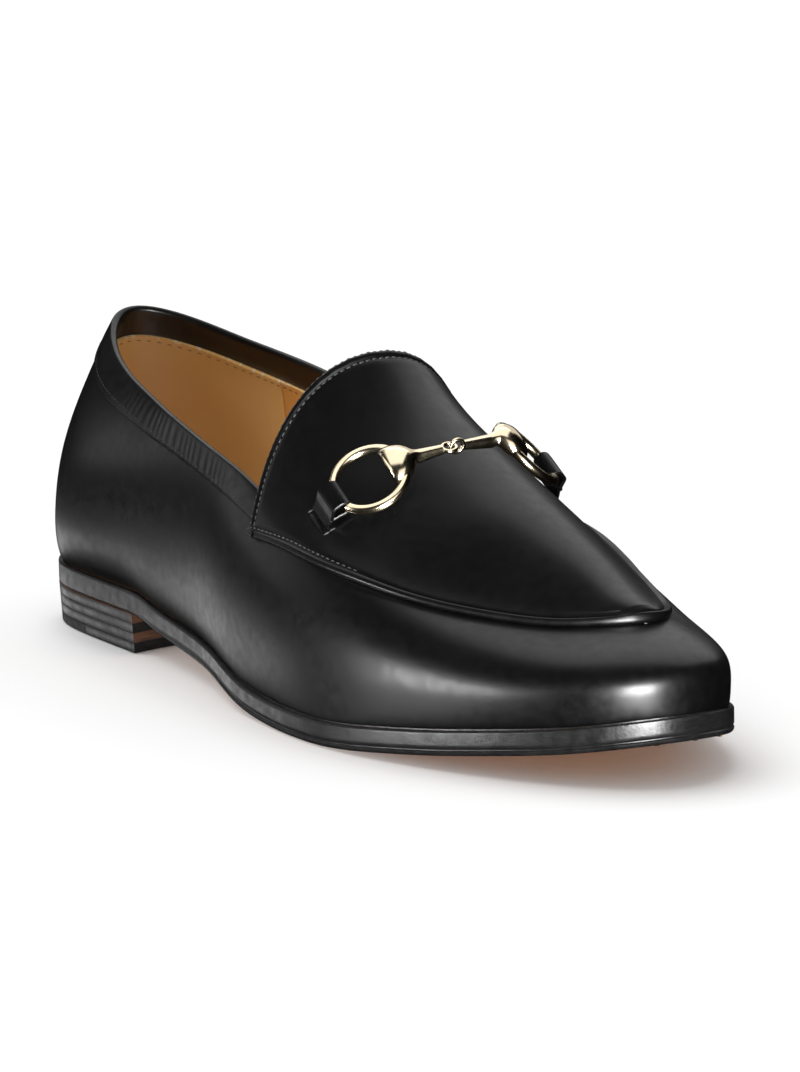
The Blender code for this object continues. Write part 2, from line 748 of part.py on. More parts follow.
for word, seat in seats.items():
    ring = add_piece("bit_ring_" + word, torus_mesh("bit_ring_" + word, RING_RADIUS, RING_WIRE, 32, 8), gold)
    ring.matrix_basis = seat

    cap = bmesh.new()
    bmesh.ops.create_uvsphere(cap, u_segments=16, v_segments=8, radius=0.5)
    bmesh.ops.scale(cap, vec=(CAP_WIDTH, CAP_LENGTH, CAP_HEIGHT), verts=cap.verts)
    mesh = bpy.data.meshes.new("bit_bar_" + word)
    cap.to_mesh(mesh)
    cap.free()
    half = add_piece("bit_bar_" + word, mesh, gold)
    half.matrix_basis = seat @ Matrix.Translation((RING_RADIUS - CAP_INSET, 0, 0))

    eye = tool("eye_" + word, torus_mesh("eye_" + word, EYE_RADIUS, EYE_WIRE, 16, 6), half, "UNION")
    eye.matrix_basis = eyes[word]

    start = caps[word]
    run = eyes[word].translation - start
    finish = start + run * (1 - EYE_RADIUS / run.length)
    bar = bmesh.new()
    bmesh.ops.create_cone(bar, cap_ends=True, segments=12, radius1=BAR_THICK / 2,
                          radius2=BAR_THIN / 2, depth=(finish - start).length)
    mesh = bpy.data.meshes.new("bar_" + word)
    bar.to_mesh(mesh)
    bar.free()
    rod = tool("bar_" + word, mesh, half, "UNION")
    rod.matrix_basis = (Matrix.Translation((start + finish) / 2)
                        @ run.to_track_quat("Z", "Y").to_matrix().to_4x4())

    bore = tool("bore_" + word, torus_mesh("bore_" + word, RING_RADIUS, RING_WIRE + 2 * FIT_GAP, 32, 10),
                half, "DIFFERENCE")
    bore.matrix_basis = seat


def tab_mesh(name, frame):
    """Strap folded about the ring, with its tail down on the apron.

    In the frame, X runs away from the ring's middle and Z away from the vamp,
    and the wire passes through the origin along Y.
    """
    t = np.linspace(BIT_T - 0.1, BIT_T + 0.1, 61)[:, None]
    v = np.linspace(1.3, 3, 90)[None]
    side = -1 if frame.translation.y < crown_line(BIT_T)[1] else 1
    surface = offset_skin(t, side, v, np.full((61, 90), APRON_TOP)).reshape(-1, 3)
    turn = np.array(frame.inverted())
    local = surface @ turn[:3, :3].T + turn[:3, 3]
    inside = RING_WIRE / 2 + FIT_GAP
    outside = inside + TAB_THICKNESS
    reach = outside + TAB_TAIL

    below = (local[:, 0] > 0.3 * reach) & (local[:, 0] < 1.05 * reach)
    below &= np.abs(local[:, 1]) < 0.55 * TAB_WIDTH
    ground = local[below]
    rise = (ground[:, 2] + FIT_GAP + outside) * reach / ground[:, 0]
    low = rise.max() - outside
    angles = np.radians(np.linspace(90, 270, 9))
    nose = np.stack([np.cos(angles), np.sin(angles)], -1)
    hole = nose * inside - np.array([TAB_SLACK, 0])
    hole = np.concatenate([hole, [(inside, -0.7 * inside), (inside, 0.7 * inside)]])
    strap = nose * outside - np.array([TAB_SLACK, 0])
    strap = np.concatenate([strap, [(reach, low), (reach, low + 2 * TAB_THICKNESS)]])
    points = []
    for y in (-TAB_WIDTH / 2, TAB_WIDTH / 2):
        for loop in (strap, hole):
            points.append(np.column_stack([loop[:, 0], np.full(len(loop), y), loop[:, 1]]))
    count = len(strap)
    faces = []
    for i in range(count):
        j = (i + 1) % count
        a, b, c, d = (k * count for k in range(4))
        faces.append((a + i, a + j, b + j, b + i))
        faces.append((c + i, c + j, d + j, d + i))
        faces.append((a + i, a + j, c + j, c + i))
        faces.append((b + i, b + j, d + j, d + i))
    return mesh_from(name, np.concatenate(points), faces)


for word, seat in seats.items():
    frame = seat @ Matrix.Rotation(math.pi, 4, "Z") @ Matrix.Translation((RING_RADIUS, 0, 0))
    tab = add_piece("bit_tab_" + word, tab_mesh("bit_tab_" + word, frame), leather)
    tab.matrix_basis = frame


# Stands the shoe on z = 0 with the middle of its box over the origin.
corners = np.array([piece.matrix_basis @ v.co for piece in pieces for v in piece.data.vertices])
middle = (corners.min(0) + corners.max(0)) / 2
shoe.location = (-middle[0], -middle[1], 0)
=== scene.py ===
"""Looks of the bit loafer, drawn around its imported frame, in metres."""
import math

import bmesh
import bpy
import numpy as np
from mathutils import Matrix, Vector
from mathutils.bvhtree import BVHTree


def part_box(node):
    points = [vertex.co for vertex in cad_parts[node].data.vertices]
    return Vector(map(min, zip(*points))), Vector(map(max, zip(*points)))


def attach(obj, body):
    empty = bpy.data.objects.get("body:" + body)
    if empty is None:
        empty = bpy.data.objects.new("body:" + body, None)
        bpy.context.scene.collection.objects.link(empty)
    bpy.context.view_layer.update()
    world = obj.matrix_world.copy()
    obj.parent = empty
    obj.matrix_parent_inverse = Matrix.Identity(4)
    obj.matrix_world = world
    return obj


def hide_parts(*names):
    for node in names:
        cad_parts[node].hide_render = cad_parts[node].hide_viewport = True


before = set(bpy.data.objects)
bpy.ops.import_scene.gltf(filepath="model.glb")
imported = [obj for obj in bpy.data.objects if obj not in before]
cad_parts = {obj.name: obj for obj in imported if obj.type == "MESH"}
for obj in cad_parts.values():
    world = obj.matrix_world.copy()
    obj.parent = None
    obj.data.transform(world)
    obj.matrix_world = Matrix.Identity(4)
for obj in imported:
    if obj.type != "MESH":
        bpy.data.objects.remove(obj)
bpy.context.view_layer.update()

MM = 0.001

# Sizes of the shoe, as in the part
SOLE_LENGTH = 0.262
SOLE_HALF_WIDTH = 0.0411
SOLE_EDGE = 0.0055
TOE_SPRING = 0.0097
HEEL_HEIGHT = 0.0094
HEEL_BREAST = 0.0653
BREAST_HOLLOW = 0.0042
HEEL_TAPER = 0.0007
TOP_PIECE = 0.0024
TOP_PIECE_JOINT = 0.0295
TOP_PIECE_SLANT = math.radians(15.5)
FEATHER_INSET = 0.0014
BELLY_DRAWN_IN = 0.0006
BELLY_RISE = 0.0120
BELLY_BACK = 0.0010
BELLY_FRONT = 0.0008
COUNTER_HEIGHT = 0.0580
TOPLINE_DRAWN_IN = 0.0071
TOPLINE_BACK = 0.0073
TOPLINE_SIDE = 0.0020
APRON_TIP_SETBACK = 0.0229
APRON_TIP_SIDE = 0.0055
TONGUE_EDGE = 0.1370
TONGUE_RISE = 0.0297
TONGUE_LEAN = 0.0005
RIM_ANGLE = math.radians(45)
ROOF_LEAVE = 1.20
ROOF_ARRIVE = 1.26
BINDING_WIDTH = 0.0075
APRON_TOP = 0.0015
INSOLE_THICKNESS = 0.0020
BIT_FORWARD = 0.0352
BIT_SIDE = 0.0045
BIT_HALF_SPAN = 0.0183
BIT_CLEARANCE = 0.0016
LINK_CLEARANCE = 0.0026
RING_RADIUS = 0.0084
RING_WIRE = 0.0023
RING_TILT = math.radians(8)
CAP_INSET = 0.0012
EYE_RADIUS = 0.0016
EYE_WIRE = 0.0010
TAB_WIDTH = 0.0080
TAB_THICKNESS = 0.0008
FIT_GAP = 0.0003
SEAT = HEEL_HEIGHT + SOLE_EDGE
BELLY_HALF_WIDTH = SOLE_HALF_WIDTH - BELLY_DRAWN_IN
TOPLINE_HALF_WIDTH = SOLE_HALF_WIDTH - TOPLINE_DRAWN_IN

PLAN = {
    "share": (0, .04, .10, .22, .31, .40, .50, .60, .70, .80, .88, .95, 1),
    "sole_width": (0, .525, .67, .635, .595, .605, .765, .94, 1, .905, .735, .50, 0),
    "sole_side": (0, 0, -.01, -.10, -.17, -.23, -.215, -.13, -.08, -.03, -.005, .01, .01),
    "belly_width": (0, .53, .75, .77, .77, .805, .905, .985, 1, .885, .72, .515, 0),
    "belly_side": (0, .03, -.015, -.06, -.065, -.08, -.105, -.10, -.075, -.055, -.035, 0, .01),
    "rim_width": (0, .365, .55, .725, .775, .815, .86, .90, .94, .875, .68, .425, 0),
    "rim_side": (0, .04, .05, .005, -.08, -.14, -.19, -.225, -.23, -.20, -.125, -.05, 0),
    "rim_height": (1, .935, .865, .79, .745, .695, .64, .545, .445, .34, .28, .26, .275),
    "belly_height": (1.1, 1.05, .95, 1.05, 1.1, 1.1, 1.05, 1, 1, .9, .75, .68, .62),
}
SHANK = {
    "share": (0, .25, .31, .40, .50, .58, .63, .68, 1),
    "height": (1, 1, .73, .53, .24, .03, 0, 0, 0),
}
SPRING = {
    "share": (0, .63, .68, .80, .88, .95, 1),
    "height": (0, 0, 0, .23, .48, .73, 1),
}
CROWN = {
    "share": (.5565, .60, .70, .80, .88, .95, 1),
    "rise": (1, .82, .62, .525, .40, .20, 0),
    "side": (0, .05, .12, .10, .04, -.02, 0),
    "apron_low": (.665, .735, .83, .955, 1, 1, 1),
}


def station(share):
    return math.acos(1 - 2 * share) / math.pi


def share_of(t):
    return (1 - np.cos(np.pi * np.asarray(t, float))) / 2


def arrays(*values):
    """Values as float arrays of one shape."""
    return np.broadcast_arrays(*(np.asarray(a, float) for a in values))


def unit(a):
    return a / np.maximum(np.linalg.norm(a, axis=-1, keepdims=True), 1e-12)


def ease(q):
    """Smooth step from 0 to 1."""
    q = np.clip(q, 0, 1)
    return q * q * (3 - 2 * q)


def run_along(points):
    """Length along a line, up to each of its points."""
    return np.concatenate([[0], np.cumsum(np.linalg.norm(np.diff(points, axis=0), axis=-1))])


def spline(knots, values):
    """Natural cubic spline through the knots."""
    x = np.asarray(knots, float)
    y = np.asarray(values, float)
    n = len(x)
    h = np.diff(x)
    rows = np.eye(n)
    right = np.zeros(n)
    for i in range(1, n - 1):
        rows[i, i - 1:i + 2] = h[i - 1], 2 * (h[i - 1] + h[i]), h[i]
        right[i] = 6 * ((y[i + 1] - y[i]) / h[i] - (y[i] - y[i - 1]) / h[i - 1])
    bend = np.linalg.solve(rows, right)

    def read(at):
        at = np.clip(np.asarray(at, float), x[0], x[-1])
        k = np.clip(np.searchsorted(x, at) - 1, 0, n - 2)
        d = x[k + 1] - x[k]
        u = (x[k + 1] - at) / d
        v = (at - x[k]) / d
        curve = ((u ** 3 - u) * bend[k] + (v ** 3 - v) * bend[k + 1]) * d ** 2 / 6
        return u * y[k] + v * y[k + 1] + curve

    return read


def smooth(knots, values, blur=0.012):
    """Curve through the knots that never overshoots, with its kinks eased."""
    x = np.asarray(knots, float)
    y = np.asarray(values, float)
    h = np.diff(x)
    slope = np.diff(y) / h
    tangent = np.zeros(len(x))
    for i in range(1, len(x) - 1):
        if slope[i - 1] * slope[i] > 0:
            a = 2 * h[i] + h[i - 1]
            b = h[i] + 2 * h[i - 1]
            tangent[i] = (a + b) / (a / slope[i - 1] + b / slope[i])
    tangent[0] = slope[0] if slope[0] * slope[1] > 0 else 0
    tangent[-1] = slope[-1] if slope[-1] * slope[-2] > 0 else 0

    def raw(at):
        k = np.clip(np.searchsorted(x, at) - 1, 0, len(x) - 2)
        q = (at - x[k]) / h[k]
        return (y[k] * (1 + 2 * q) * (1 - q) ** 2 + y[k + 1] * q * q * (3 - 2 * q)
                + h[k] * tangent[k] * q * (1 - q) ** 2 + h[k] * tangent[k + 1] * q * q * (q - 1))

    fine = np.linspace(x[0], x[-1], 1201)
    step = fine[1] - fine[0]
    reach = int(3 * blur / step)
    weights = np.exp(-0.5 * (np.arange(-reach, reach + 1) * step / blur) ** 2)
    weights /= weights.sum()
    values_fine = raw(fine)
    before = 2 * values_fine[0] - values_fine[reach:0:-1]
    after = 2 * values_fine[-1] - values_fine[-2:-reach - 2:-1]
    eased = np.convolve(np.concatenate([before, values_fine, after]), weights, "valid")

    def read(at):
        return np.interp(np.asarray(at, float), fine, eased)

    return read


PLAN_T = [station(s) for s in PLAN["share"]]
CROWN_T = [station(s) for s in CROWN["share"]]
sole_width, belly_width, rim_width = (
    spline(PLAN_T, PLAN[k]) for k in ("sole_width", "belly_width", "rim_width"))
sole_side, belly_side, rim_side, rim_height, belly_height = (
    smooth(PLAN["share"], PLAN[k])
    for k in ("sole_side", "belly_side", "rim_side", "rim_height", "belly_height"))
shank = smooth(SHANK["share"], SHANK["height"])
spring = smooth(SPRING["share"], SPRING["height"])
crown_rise = spline(CROWN_T, CROWN["rise"])
crown_side = smooth(CROWN["share"], CROWN["side"])
apron_low = smooth(CROWN["share"], CROWN["apron_low"])


def underside(x):
    s = np.asarray(x, float) / SOLE_LENGTH
    return HEEL_HEIGHT * shank(s) + TOE_SPRING * spring(s)


def along(t, start, end):
    return start + (end - start) * share_of(t)


def sole_loop(t, side, inset=0.0):
    x = along(t, inset, SOLE_LENGTH - inset)
    half = SOLE_HALF_WIDTH * sole_width(t) - inset * np.sin(np.pi * t)
    y = SOLE_HALF_WIDTH * sole_side(share_of(t)) + side * half
    return x, y


def feather_loop(t, side):
    x, y = sole_loop(t, side, FEATHER_INSET)
    return np.stack([x, y, underside(x) + SOLE_EDGE + FIT_GAP + 0 * x], -1)


def belly_loop(t, side):
    s = share_of(t)
    x = along(t, BELLY_BACK, SOLE_LENGTH - BELLY_FRONT)
    y = BELLY_HALF_WIDTH * (belly_side(s) + side * belly_width(t))
    z = underside(SOLE_LENGTH * s) + SOLE_EDGE + FIT_GAP + BELLY_RISE * belly_height(s)
    return np.stack([x, y, z], -1)


def rim_x(t):
    return along(t, TOPLINE_BACK, SOLE_LENGTH - APRON_TIP_SETBACK)


def rim_centre(t):
    s = share_of(t)
    return TOPLINE_SIDE + (APRON_TIP_SIDE - TOPLINE_SIDE) * s + TOPLINE_HALF_WIDTH * rim_side(s)


def rim_loop(t, side):
    y = rim_centre(t) + side * TOPLINE_HALF_WIDTH * rim_width(t)
    z = SEAT + COUNTER_HEIGHT * rim_height(share_of(t))
    return np.stack([rim_x(t), y, z], -1)


def crown_line(t):
    s = share_of(t)
    rise = crown_rise(t)
    x = rim_x(t) + TONGUE_LEAN * rise
    y = rim_centre(t) + TOPLINE_HALF_WIDTH * crown_side(s)
    z = SEAT + COUNTER_HEIGHT * rim_height(s) + TONGUE_RISE * rise
    return np.stack([x, y, z], -1)


def skin(t, side, v):
    """Point of the last's skin: v is 0 at the feather edge, 1 belly, 2 rim, 3 crown."""
    t, side, v = arrays(t, side, v)
    feather = feather_loop(t, side)
    belly = belly_loop(t, side)
    rim = rim_loop(t, side)
    turn = np.clip(v, 0, 1)[..., None] * np.pi / 2
    tuck = feather + (belly - feather) * np.sin(turn)
    tuck[..., 2:] = feather[..., 2:] + (belly - feather)[..., 2:] * (1 - np.cos(turn))
    q = np.clip(v - 1, 0, 1)[..., None] * RIM_ANGLE
    side_wall = belly + (rim - belly) * (1 - np.cos(q)) / (1 - math.cos(RIM_ANGLE))
    side_wall[..., 2:] = belly[..., 2:] + (rim - belly)[..., 2:] * np.sin(q) / math.sin(RIM_ANGLE)
    crown = crown_line(t)
    w = np.clip(v - 2, 0, 1)[..., None]
    across = math.sin(RIM_ANGLE) / (1 - math.cos(RIM_ANGLE))
    leave = (rim - belly) * np.array([across, across, 1 / math.tan(RIM_ANGLE)])
    arrive = (crown - rim) * np.array([0, 1, 0])
    span = np.linalg.norm(crown - rim, axis=-1, keepdims=True)
    leave = leave * ROOF_LEAVE * span / np.maximum(np.linalg.norm(leave, axis=-1, keepdims=True), 1e-9)
    arrive = arrive * ROOF_ARRIVE * span / np.maximum(np.linalg.norm(arrive, axis=-1, keepdims=True), 1e-9)
    roof = (rim * (1 + 2 * w) * (1 - w) ** 2 + crown * w * w * (3 - 2 * w)
            + leave * w * (1 - w) ** 2 + arrive * w * w * (w - 1))
    v = v[..., None]
    return np.where(v <= 1, tuck, np.where(v <= 2, side_wall, roof))


def skin_normal(t, side, v):
    """Outward direction of the last's skin."""
    t, side, v = arrays(t, side, v)
    tip = t > 1 - 1e-4
    v = np.where(tip, np.minimum(v, 2), v)
    h = 2e-3
    low = np.maximum(v - h, 0)
    high = np.where(v <= 2, np.minimum(v + h, 2), np.minimum(v + h, 3))
    up = skin(t, side, high) - skin(t, side, low)

    def mirrored(at):
        flip = (at < 0) | (at > 1)
        inside = np.where(at < 0, -at, np.where(at > 1, 2 - at, at))
        roof = flip & (v > 2)
        return skin(np.where(roof, t, inside), np.where(flip & ~roof, -side, side), v)

    ahead = mirrored(t + h) - mirrored(t - h)
    out = np.cross(ahead, up) * side[..., None] * -1
    return unit(out)


def offset_skin(t, side, v, out):
    """Point at a distance out from the last's skin."""
    return skin(t, side, v) + skin_normal(t, side, v) * np.asarray(out)[..., None]


# The frame sets the middle of the model's box over the origin.
stations = np.linspace(0, 1, 37)
low_y = sole_loop(stations, -1)[1].min()
low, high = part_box("outsole")
PLACE = np.array([low.x, low.y - low_y, 0])

RIM_LENGTH = SOLE_LENGTH - APRON_TIP_SETBACK - TOPLINE_BACK
TONGUE_T = station((TONGUE_EDGE - TOPLINE_BACK) / RIM_LENGTH)
BIT_T = station((TONGUE_EDGE + BIT_FORWARD - TOPLINE_BACK) / RIM_LENGTH)


# Mesh tools

def grid_faces(rows, columns, round_columns=False, round_rows=False):
    """Faces of a grid of points, closed on itself where asked."""
    faces = []
    for r in range(rows if round_rows else rows - 1):
        s = (r + 1) % rows
        for c in range(columns if round_columns else columns - 1):
            d = (c + 1) % columns
            faces.append((r * columns + c, r * columns + d, s * columns + d, s * columns + c))
    return faces


def added(name, data):
    made = bpy.data.objects.new(name, data)
    bpy.context.scene.collection.objects.link(made)
    return made


class Work:
    """Points and faces of one piece, gathered from grids, then welded."""

    def __init__(self):
        self.points = []
        self.faces = []
        self.marks = []
        self.slots = []
        self.count = 0

    def put(self, points, faces, slot=0, mark=0.0):
        """Adds points, and faces that are numbered from the first of them."""
        points = np.asarray(points, float).reshape(-1, 3)
        self.points.append(points)
        self.marks.append(np.broadcast_to(mark, len(points)))
        self.faces += [tuple(self.count + i for i in face) for face in faces]
        self.slots += [slot] * len(faces)
        self.count += len(points)
        return self

    def grid(self, points, slot=0, mark=0.0, **how):
        """Adds rows of points."""
        rows, columns = np.shape(points)[:2]
        mark = np.broadcast_to(mark, (rows, columns)).reshape(-1)
        return self.put(points, grid_faces(rows, columns, **how), slot, mark)

    def face(self, loop, slot=0):
        return self.put(loop, [range(len(loop))], slot)

    def join(self, one, two, **how):
        """Strip between two lines of as many points."""
        return self.grid(np.stack([one, two]), **how)

    def cap(self, ring, rows, slot=0):
        """Closes a ring round the shoe with rows from side to side."""
        half = len(ring) // 2
        far = np.concatenate([ring[:1], ring[:half - 1:-1]])
        q = np.linspace(0, 1, rows)[:, None, None]
        return self.grid(ring[:half + 1] * (1 - q) + far * q, slot=slot)

    def build(self, name, materials, slot, replaces=(), weld=2e-6, sharp=40):
        points = np.concatenate(self.points) + PLACE
        mesh = bpy.data.meshes.new(name)
        mesh.from_pydata(points.tolist(), [], self.faces)
        mesh.polygons.foreach_set("material_index", self.slots)
        layer = mesh.attributes.new("mark", "FLOAT", "POINT")
        layer.data.foreach_set("value", np.concatenate(self.marks))
        if weld:
            work = bmesh.new()
            work.from_mesh(mesh)
            bmesh.ops.remove_doubles(work, verts=work.verts, dist=weld)
            bmesh.ops.dissolve_degenerate(work, edges=work.edges, dist=weld / 4)
            bmesh.ops.recalc_face_normals(work, faces=work.faces)
            work.to_mesh(mesh)
            work.free()
        mesh.shade_smooth()
        mesh.set_sharp_from_angle(angle=math.radians(sharp))
        for material in materials:
            mesh.materials.append(material)
        piece = added(name, mesh)
        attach(piece, "root")
        if replaces:
            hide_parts(*replaces)
        return piece


def ball(rings=4, segments=8):
    """Small round body of unit radius."""
    points = [(0, 0, -1)]
    for r in range(1, rings):
        a = math.pi * (r / rings - 0.5)
        for s in range(segments):
            b = 2 * math.pi * s / segments
            points.append((math.cos(a) * math.cos(b), math.cos(a) * math.sin(b), math.sin(a)))
    points.append((0, 0, 1))
    last = len(points) - 1
    faces = []
    for s in range(segments):
        n = (s + 1) % segments
        faces.append((0, 1 + n, 1 + s))
        for r in range(rings - 2):
            a = 1 + r * segments
            faces.append((a + s, a + n, a + segments + n, a + segments + s))
        a = 1 + (rings - 2) * segments
        faces.append((a + s, a + n, last))
    return np.array(points), faces


BALL, BALL_FACES = ball()


def beads(work, centres, ahead, up, size, slot=0):
    """Adds stretched beads at points, with their length ahead and height up."""
    ahead = unit(ahead)
    up = unit(up - ahead * (ahead * up).sum(-1, keepdims=True))
    across = np.cross(up, ahead)
    axes = np.stack([ahead, across, up], 1)
    local = BALL * np.asarray(size) / 2
    for bead in centres[:, None] + np.einsum("pk,nkj->npj", local, axes):
        work.put(bead, BALL_FACES, slot)


def resample(points, pitch, start=0.0, end=0.0):
    """Even steps along a line of points: positions, directions and where they lie."""
    run = run_along(points)
    count = max(int((run[-1] - start - end) / pitch), 1)
    at = start + (np.arange(count) + 0.5) * (run[-1] - start - end) / count
    behind, place, before = (np.stack([np.interp(at + nudge, run, line) for line in points.T], -1)
                             for nudge in (-pitch / 4, 0, pitch / 4))
    return place, before - behind, np.interp(at, run, np.arange(len(points)))


def stitch_row(work, points, normals, pitch=2.2 * MM, length=1.7 * MM, width=0.42 * MM,
               height=0.34 * MM, start=0.0, end=0.0, sink=0.05 * MM, slot=0):
    """Adds stitches along a line of points."""
    place, ahead, index = resample(points, pitch, start, end)
    up = np.stack([np.interp(index, np.arange(len(points)), normals[:, k]) for k in range(3)], -1)
    beads(work, place - unit(up) * sink, ahead, up, (length, width, height), slot)


def turns(steps):
    """Even angles of one whole turn."""
    return np.linspace(0, 2 * np.pi, steps, endpoint=False)


def tube(path, radii, segments, across):
    """Grid round a path with a radius at each point."""
    tangent = unit(np.gradient(path, axis=0))
    one = unit(np.cross(tangent, across))[:, None]
    two = np.cross(one, tangent[:, None])
    a = turns(segments)[None, :, None]
    return path[:, None] + radii[:, None, None] * (np.cos(a) * one + np.sin(a) * two)


# Materials

# Sockets of the mix node that carry colours
MIX_FROM, MIX_TO, MIX_COLOUR = 6, 7, 2
FINE_GRAIN = 0.02 * MM
WIDE_GRAIN = 0.06 * MM
WIDE_SCALE = 420


def shader_of(name):
    material = bpy.data.materials.new(name)
    material.use_nodes = True
    tree = material.node_tree
    return material, tree, tree.nodes["Principled BSDF"]


def node(tree, kind, inputs=(), **values):
    made = tree.nodes.new(kind)
    for key, value in inputs:
        made.inputs[key].default_value = value
    for key, value in values.items():
        setattr(made, key, value)
    return made


def noise(tree, coords, scale, detail=3.0, stretch=None):
    """Noise over the object's own coordinates."""
    source = coords.outputs["Object"]
    if stretch:
        mapping = node(tree, "ShaderNodeMapping", [("Scale", stretch)])
        tree.links.new(source, mapping.inputs["Vector"])
        source = mapping.outputs["Vector"]
    made = node(tree, "ShaderNodeTexNoise", [("Scale", scale), ("Detail", detail)])
    tree.links.new(source, made.inputs["Vector"])
    return made.outputs["Fac"]


def ramp(tree, source, stops):
    """Colour between two stops: (place, colour)."""
    made = node(tree, "ShaderNodeValToRGB")
    for element, (place, colour) in zip(made.color_ramp.elements, stops):
        element.position = place
        element.color = (*colour, 1)
    tree.links.new(source, made.inputs["Fac"])
    return made.outputs["Color"]


def spread(tree, source, low, high, from_low=0.0, from_high=1.0):
    made = node(tree, "ShaderNodeMapRange", [
        ("From Min", from_low), ("From Max", from_high), ("To Min", low), ("To Max", high)])
    tree.links.new(source, made.inputs["Value"])
    return made.outputs["Result"]


def bumps(tree, shader, layers):
    """Chain of bumps: (height source, strength, distance)."""
    normal = None
    for source, strength, distance in layers:
        made = node(tree, "ShaderNodeBump", [("Strength", strength), ("Distance", distance)])
        tree.links.new(source, made.inputs["Height"])
        if normal:
            tree.links.new(normal, made.inputs["Normal"])
        normal = made.outputs["Normal"]
    tree.links.new(normal, shader.inputs["Normal"])


def leather(name, dark, light, rough, grain=0.05, coat=0.0, coat_rough=0.2, cloud=35, pores=2600,
            marks=None, stretch=None, specular=0.5):
    """Leather with clouded colour, fine pores and uneven gloss."""
    material, tree, shader = shader_of(name)
    coords = node(tree, "ShaderNodeTexCoord")
    clouds = noise(tree, coords, cloud, 4, stretch)
    pore = noise(tree, coords, pores, 2)
    wide = noise(tree, coords, WIDE_SCALE, 3)
    colour = ramp(tree, clouds, ((0.32, dark), (0.68, light)))
    if marks:
        seen = node(tree, "ShaderNodeAttribute", attribute_name="mark")
        colour = ramp_marks(tree, seen.outputs["Fac"], colour, marks)
    tree.links.new(colour, shader.inputs["Base Color"])
    tree.links.new(spread(tree, wide, rough[0], rough[1], 0.3, 0.7), shader.inputs["Roughness"])
    bumps(tree, shader, ((wide, grain * 2, WIDE_GRAIN), (pore, grain * 3, FINE_GRAIN)))
    shader.inputs["Specular IOR Level"].default_value = specular
    shader.inputs["Coat Weight"].default_value = coat
    shader.inputs["Coat Roughness"].default_value = coat_rough
    return material


def ramp_marks(tree, source, colour, marks):
    """Colour changes by a painted mark: (from, to, colour) bands."""
    for start, end, paint in marks:
        made = node(tree, "ShaderNodeMix", data_type="RGBA")
        tree.links.new(spread(tree, source, 0, 1, start, end), made.inputs["Factor"])
        tree.links.new(colour, made.inputs[MIX_FROM])
        made.inputs[MIX_TO].default_value = (*paint, 1)
        colour = made.outputs[MIX_COLOUR]
    return colour


# Colours by mark: the lining's cut edge, and the lines and the painted border under the sole
CUT_EDGE = ((0.9, 1.1, (0.78, 0.60, 0.38)),)
SOLE_MARKS = ((0.4, 0.6, (0.17, 0.058, 0.022)), (1.4, 1.6, (0.012, 0.011, 0.012)))

calf = leather("calf", (0.0035, 0.0035, 0.0038), (0.0060, 0.0060, 0.0063), (0.33, 0.42), grain=0.035,
               coat=0.14, coat_rough=0.20)
calf_fold = leather("calf_fold", (0.004, 0.004, 0.0043), (0.0075, 0.0075, 0.0078), (0.30, 0.42),
                    grain=0.09, coat=0.15, coat_rough=0.22, pores=1900)
lining = leather("lining", (0.72, 0.40, 0.12), (0.80, 0.48, 0.17), (0.46, 0.60), grain=0.10,
                 cloud=28, pores=2100, marks=CUT_EDGE)
# Lining in front of the seam: darker, deeper orange, partly its own tone and mostly painted shade and
# bounced light deep inside the shoe.
lining_front_shaded = leather("lining_front_shaded", (0.66, 0.29, 0.06), (0.74, 0.35, 0.085), (0.46, 0.60),
                       grain=0.10, cloud=28, pores=2100, marks=CUT_EDGE)
sock = leather("sock", (0.53, 0.29, 0.10), (0.63, 0.37, 0.145), (0.40, 0.56), grain=0.08, cloud=22)
sole_tan = leather("sole_tan", (0.50, 0.26, 0.085), (0.64, 0.375, 0.165), (0.34, 0.50), grain=0.06,
                   cloud=24, coat=0.1, coat_rough=0.3, marks=SOLE_MARKS)
heel_tan = leather("heel_tan", (0.52, 0.29, 0.13), (0.60, 0.36, 0.18), (0.40, 0.55), grain=0.06, cloud=30)
layer_brown = leather("layer_brown", (0.10, 0.038, 0.014), (0.21, 0.085, 0.032), (0.5, 0.7),
                      grain=0.16, cloud=160, stretch=(1, 1, 9))
layer_black = leather("layer_black", (0.010, 0.010, 0.011), (0.016, 0.016, 0.017), (0.45, 0.62),
                      grain=0.12, cloud=160, stretch=(1, 1, 9))
edge_paint = leather("edge_paint", (0.016, 0.016, 0.017), (0.032, 0.032, 0.034), (0.28, 0.44),
                     grain=0.5, cloud=300, pores=1500, stretch=(1, 1, 6), coat=0.1, coat_rough=0.3)
rubber = leather("rubber", (0.012, 0.012, 0.012), (0.022, 0.022, 0.022), (0.5, 0.66), grain=0.10,
                 cloud=120, specular=0.4)
thread_black = leather("thread_black", (0.020, 0.020, 0.021), (0.05, 0.05, 0.052), (0.35, 0.5),
                       grain=0.2, cloud=900)
# Grey thread: black thread with its glint painted into the colour, a painted highlight.
thread_painted_glint = leather("thread_painted_glint", (0.09, 0.09, 0.09), (0.20, 0.20, 0.20), (0.35, 0.5), grain=0.2,
                      cloud=900)
thread_tan = leather("thread_tan", (0.16, 0.07, 0.02), (0.25, 0.12, 0.04), (0.5, 0.7), grain=0.2,
                     cloud=900)
# Dark brown of the sole's stitch slots: the thread's own colour, with the shade inside the holes painted
# in.
slot_painted_shade = leather("slot_painted_shade", (0.035, 0.012, 0.006), (0.075, 0.028, 0.012), (0.6, 0.8), grain=0.2,
                    cloud=900)


def metal(name, dark, light, rough):
    """Metal with clouded colour and gloss."""
    material, tree, shader = shader_of(name)
    coords = node(tree, "ShaderNodeTexCoord")
    clouds = noise(tree, coords, 190, 3)
    fine = noise(tree, coords, 3200, 2)
    tree.links.new(ramp(tree, clouds, ((0.3, dark), (0.7, light))), shader.inputs["Base Color"])
    tree.links.new(spread(tree, clouds, rough[0], rough[1], 0.3, 0.7), shader.inputs["Roughness"])
    bumps(tree, shader, ((fine, 0.05, FINE_GRAIN),))
    shader.inputs["Metallic"].default_value = 1.0
    return material


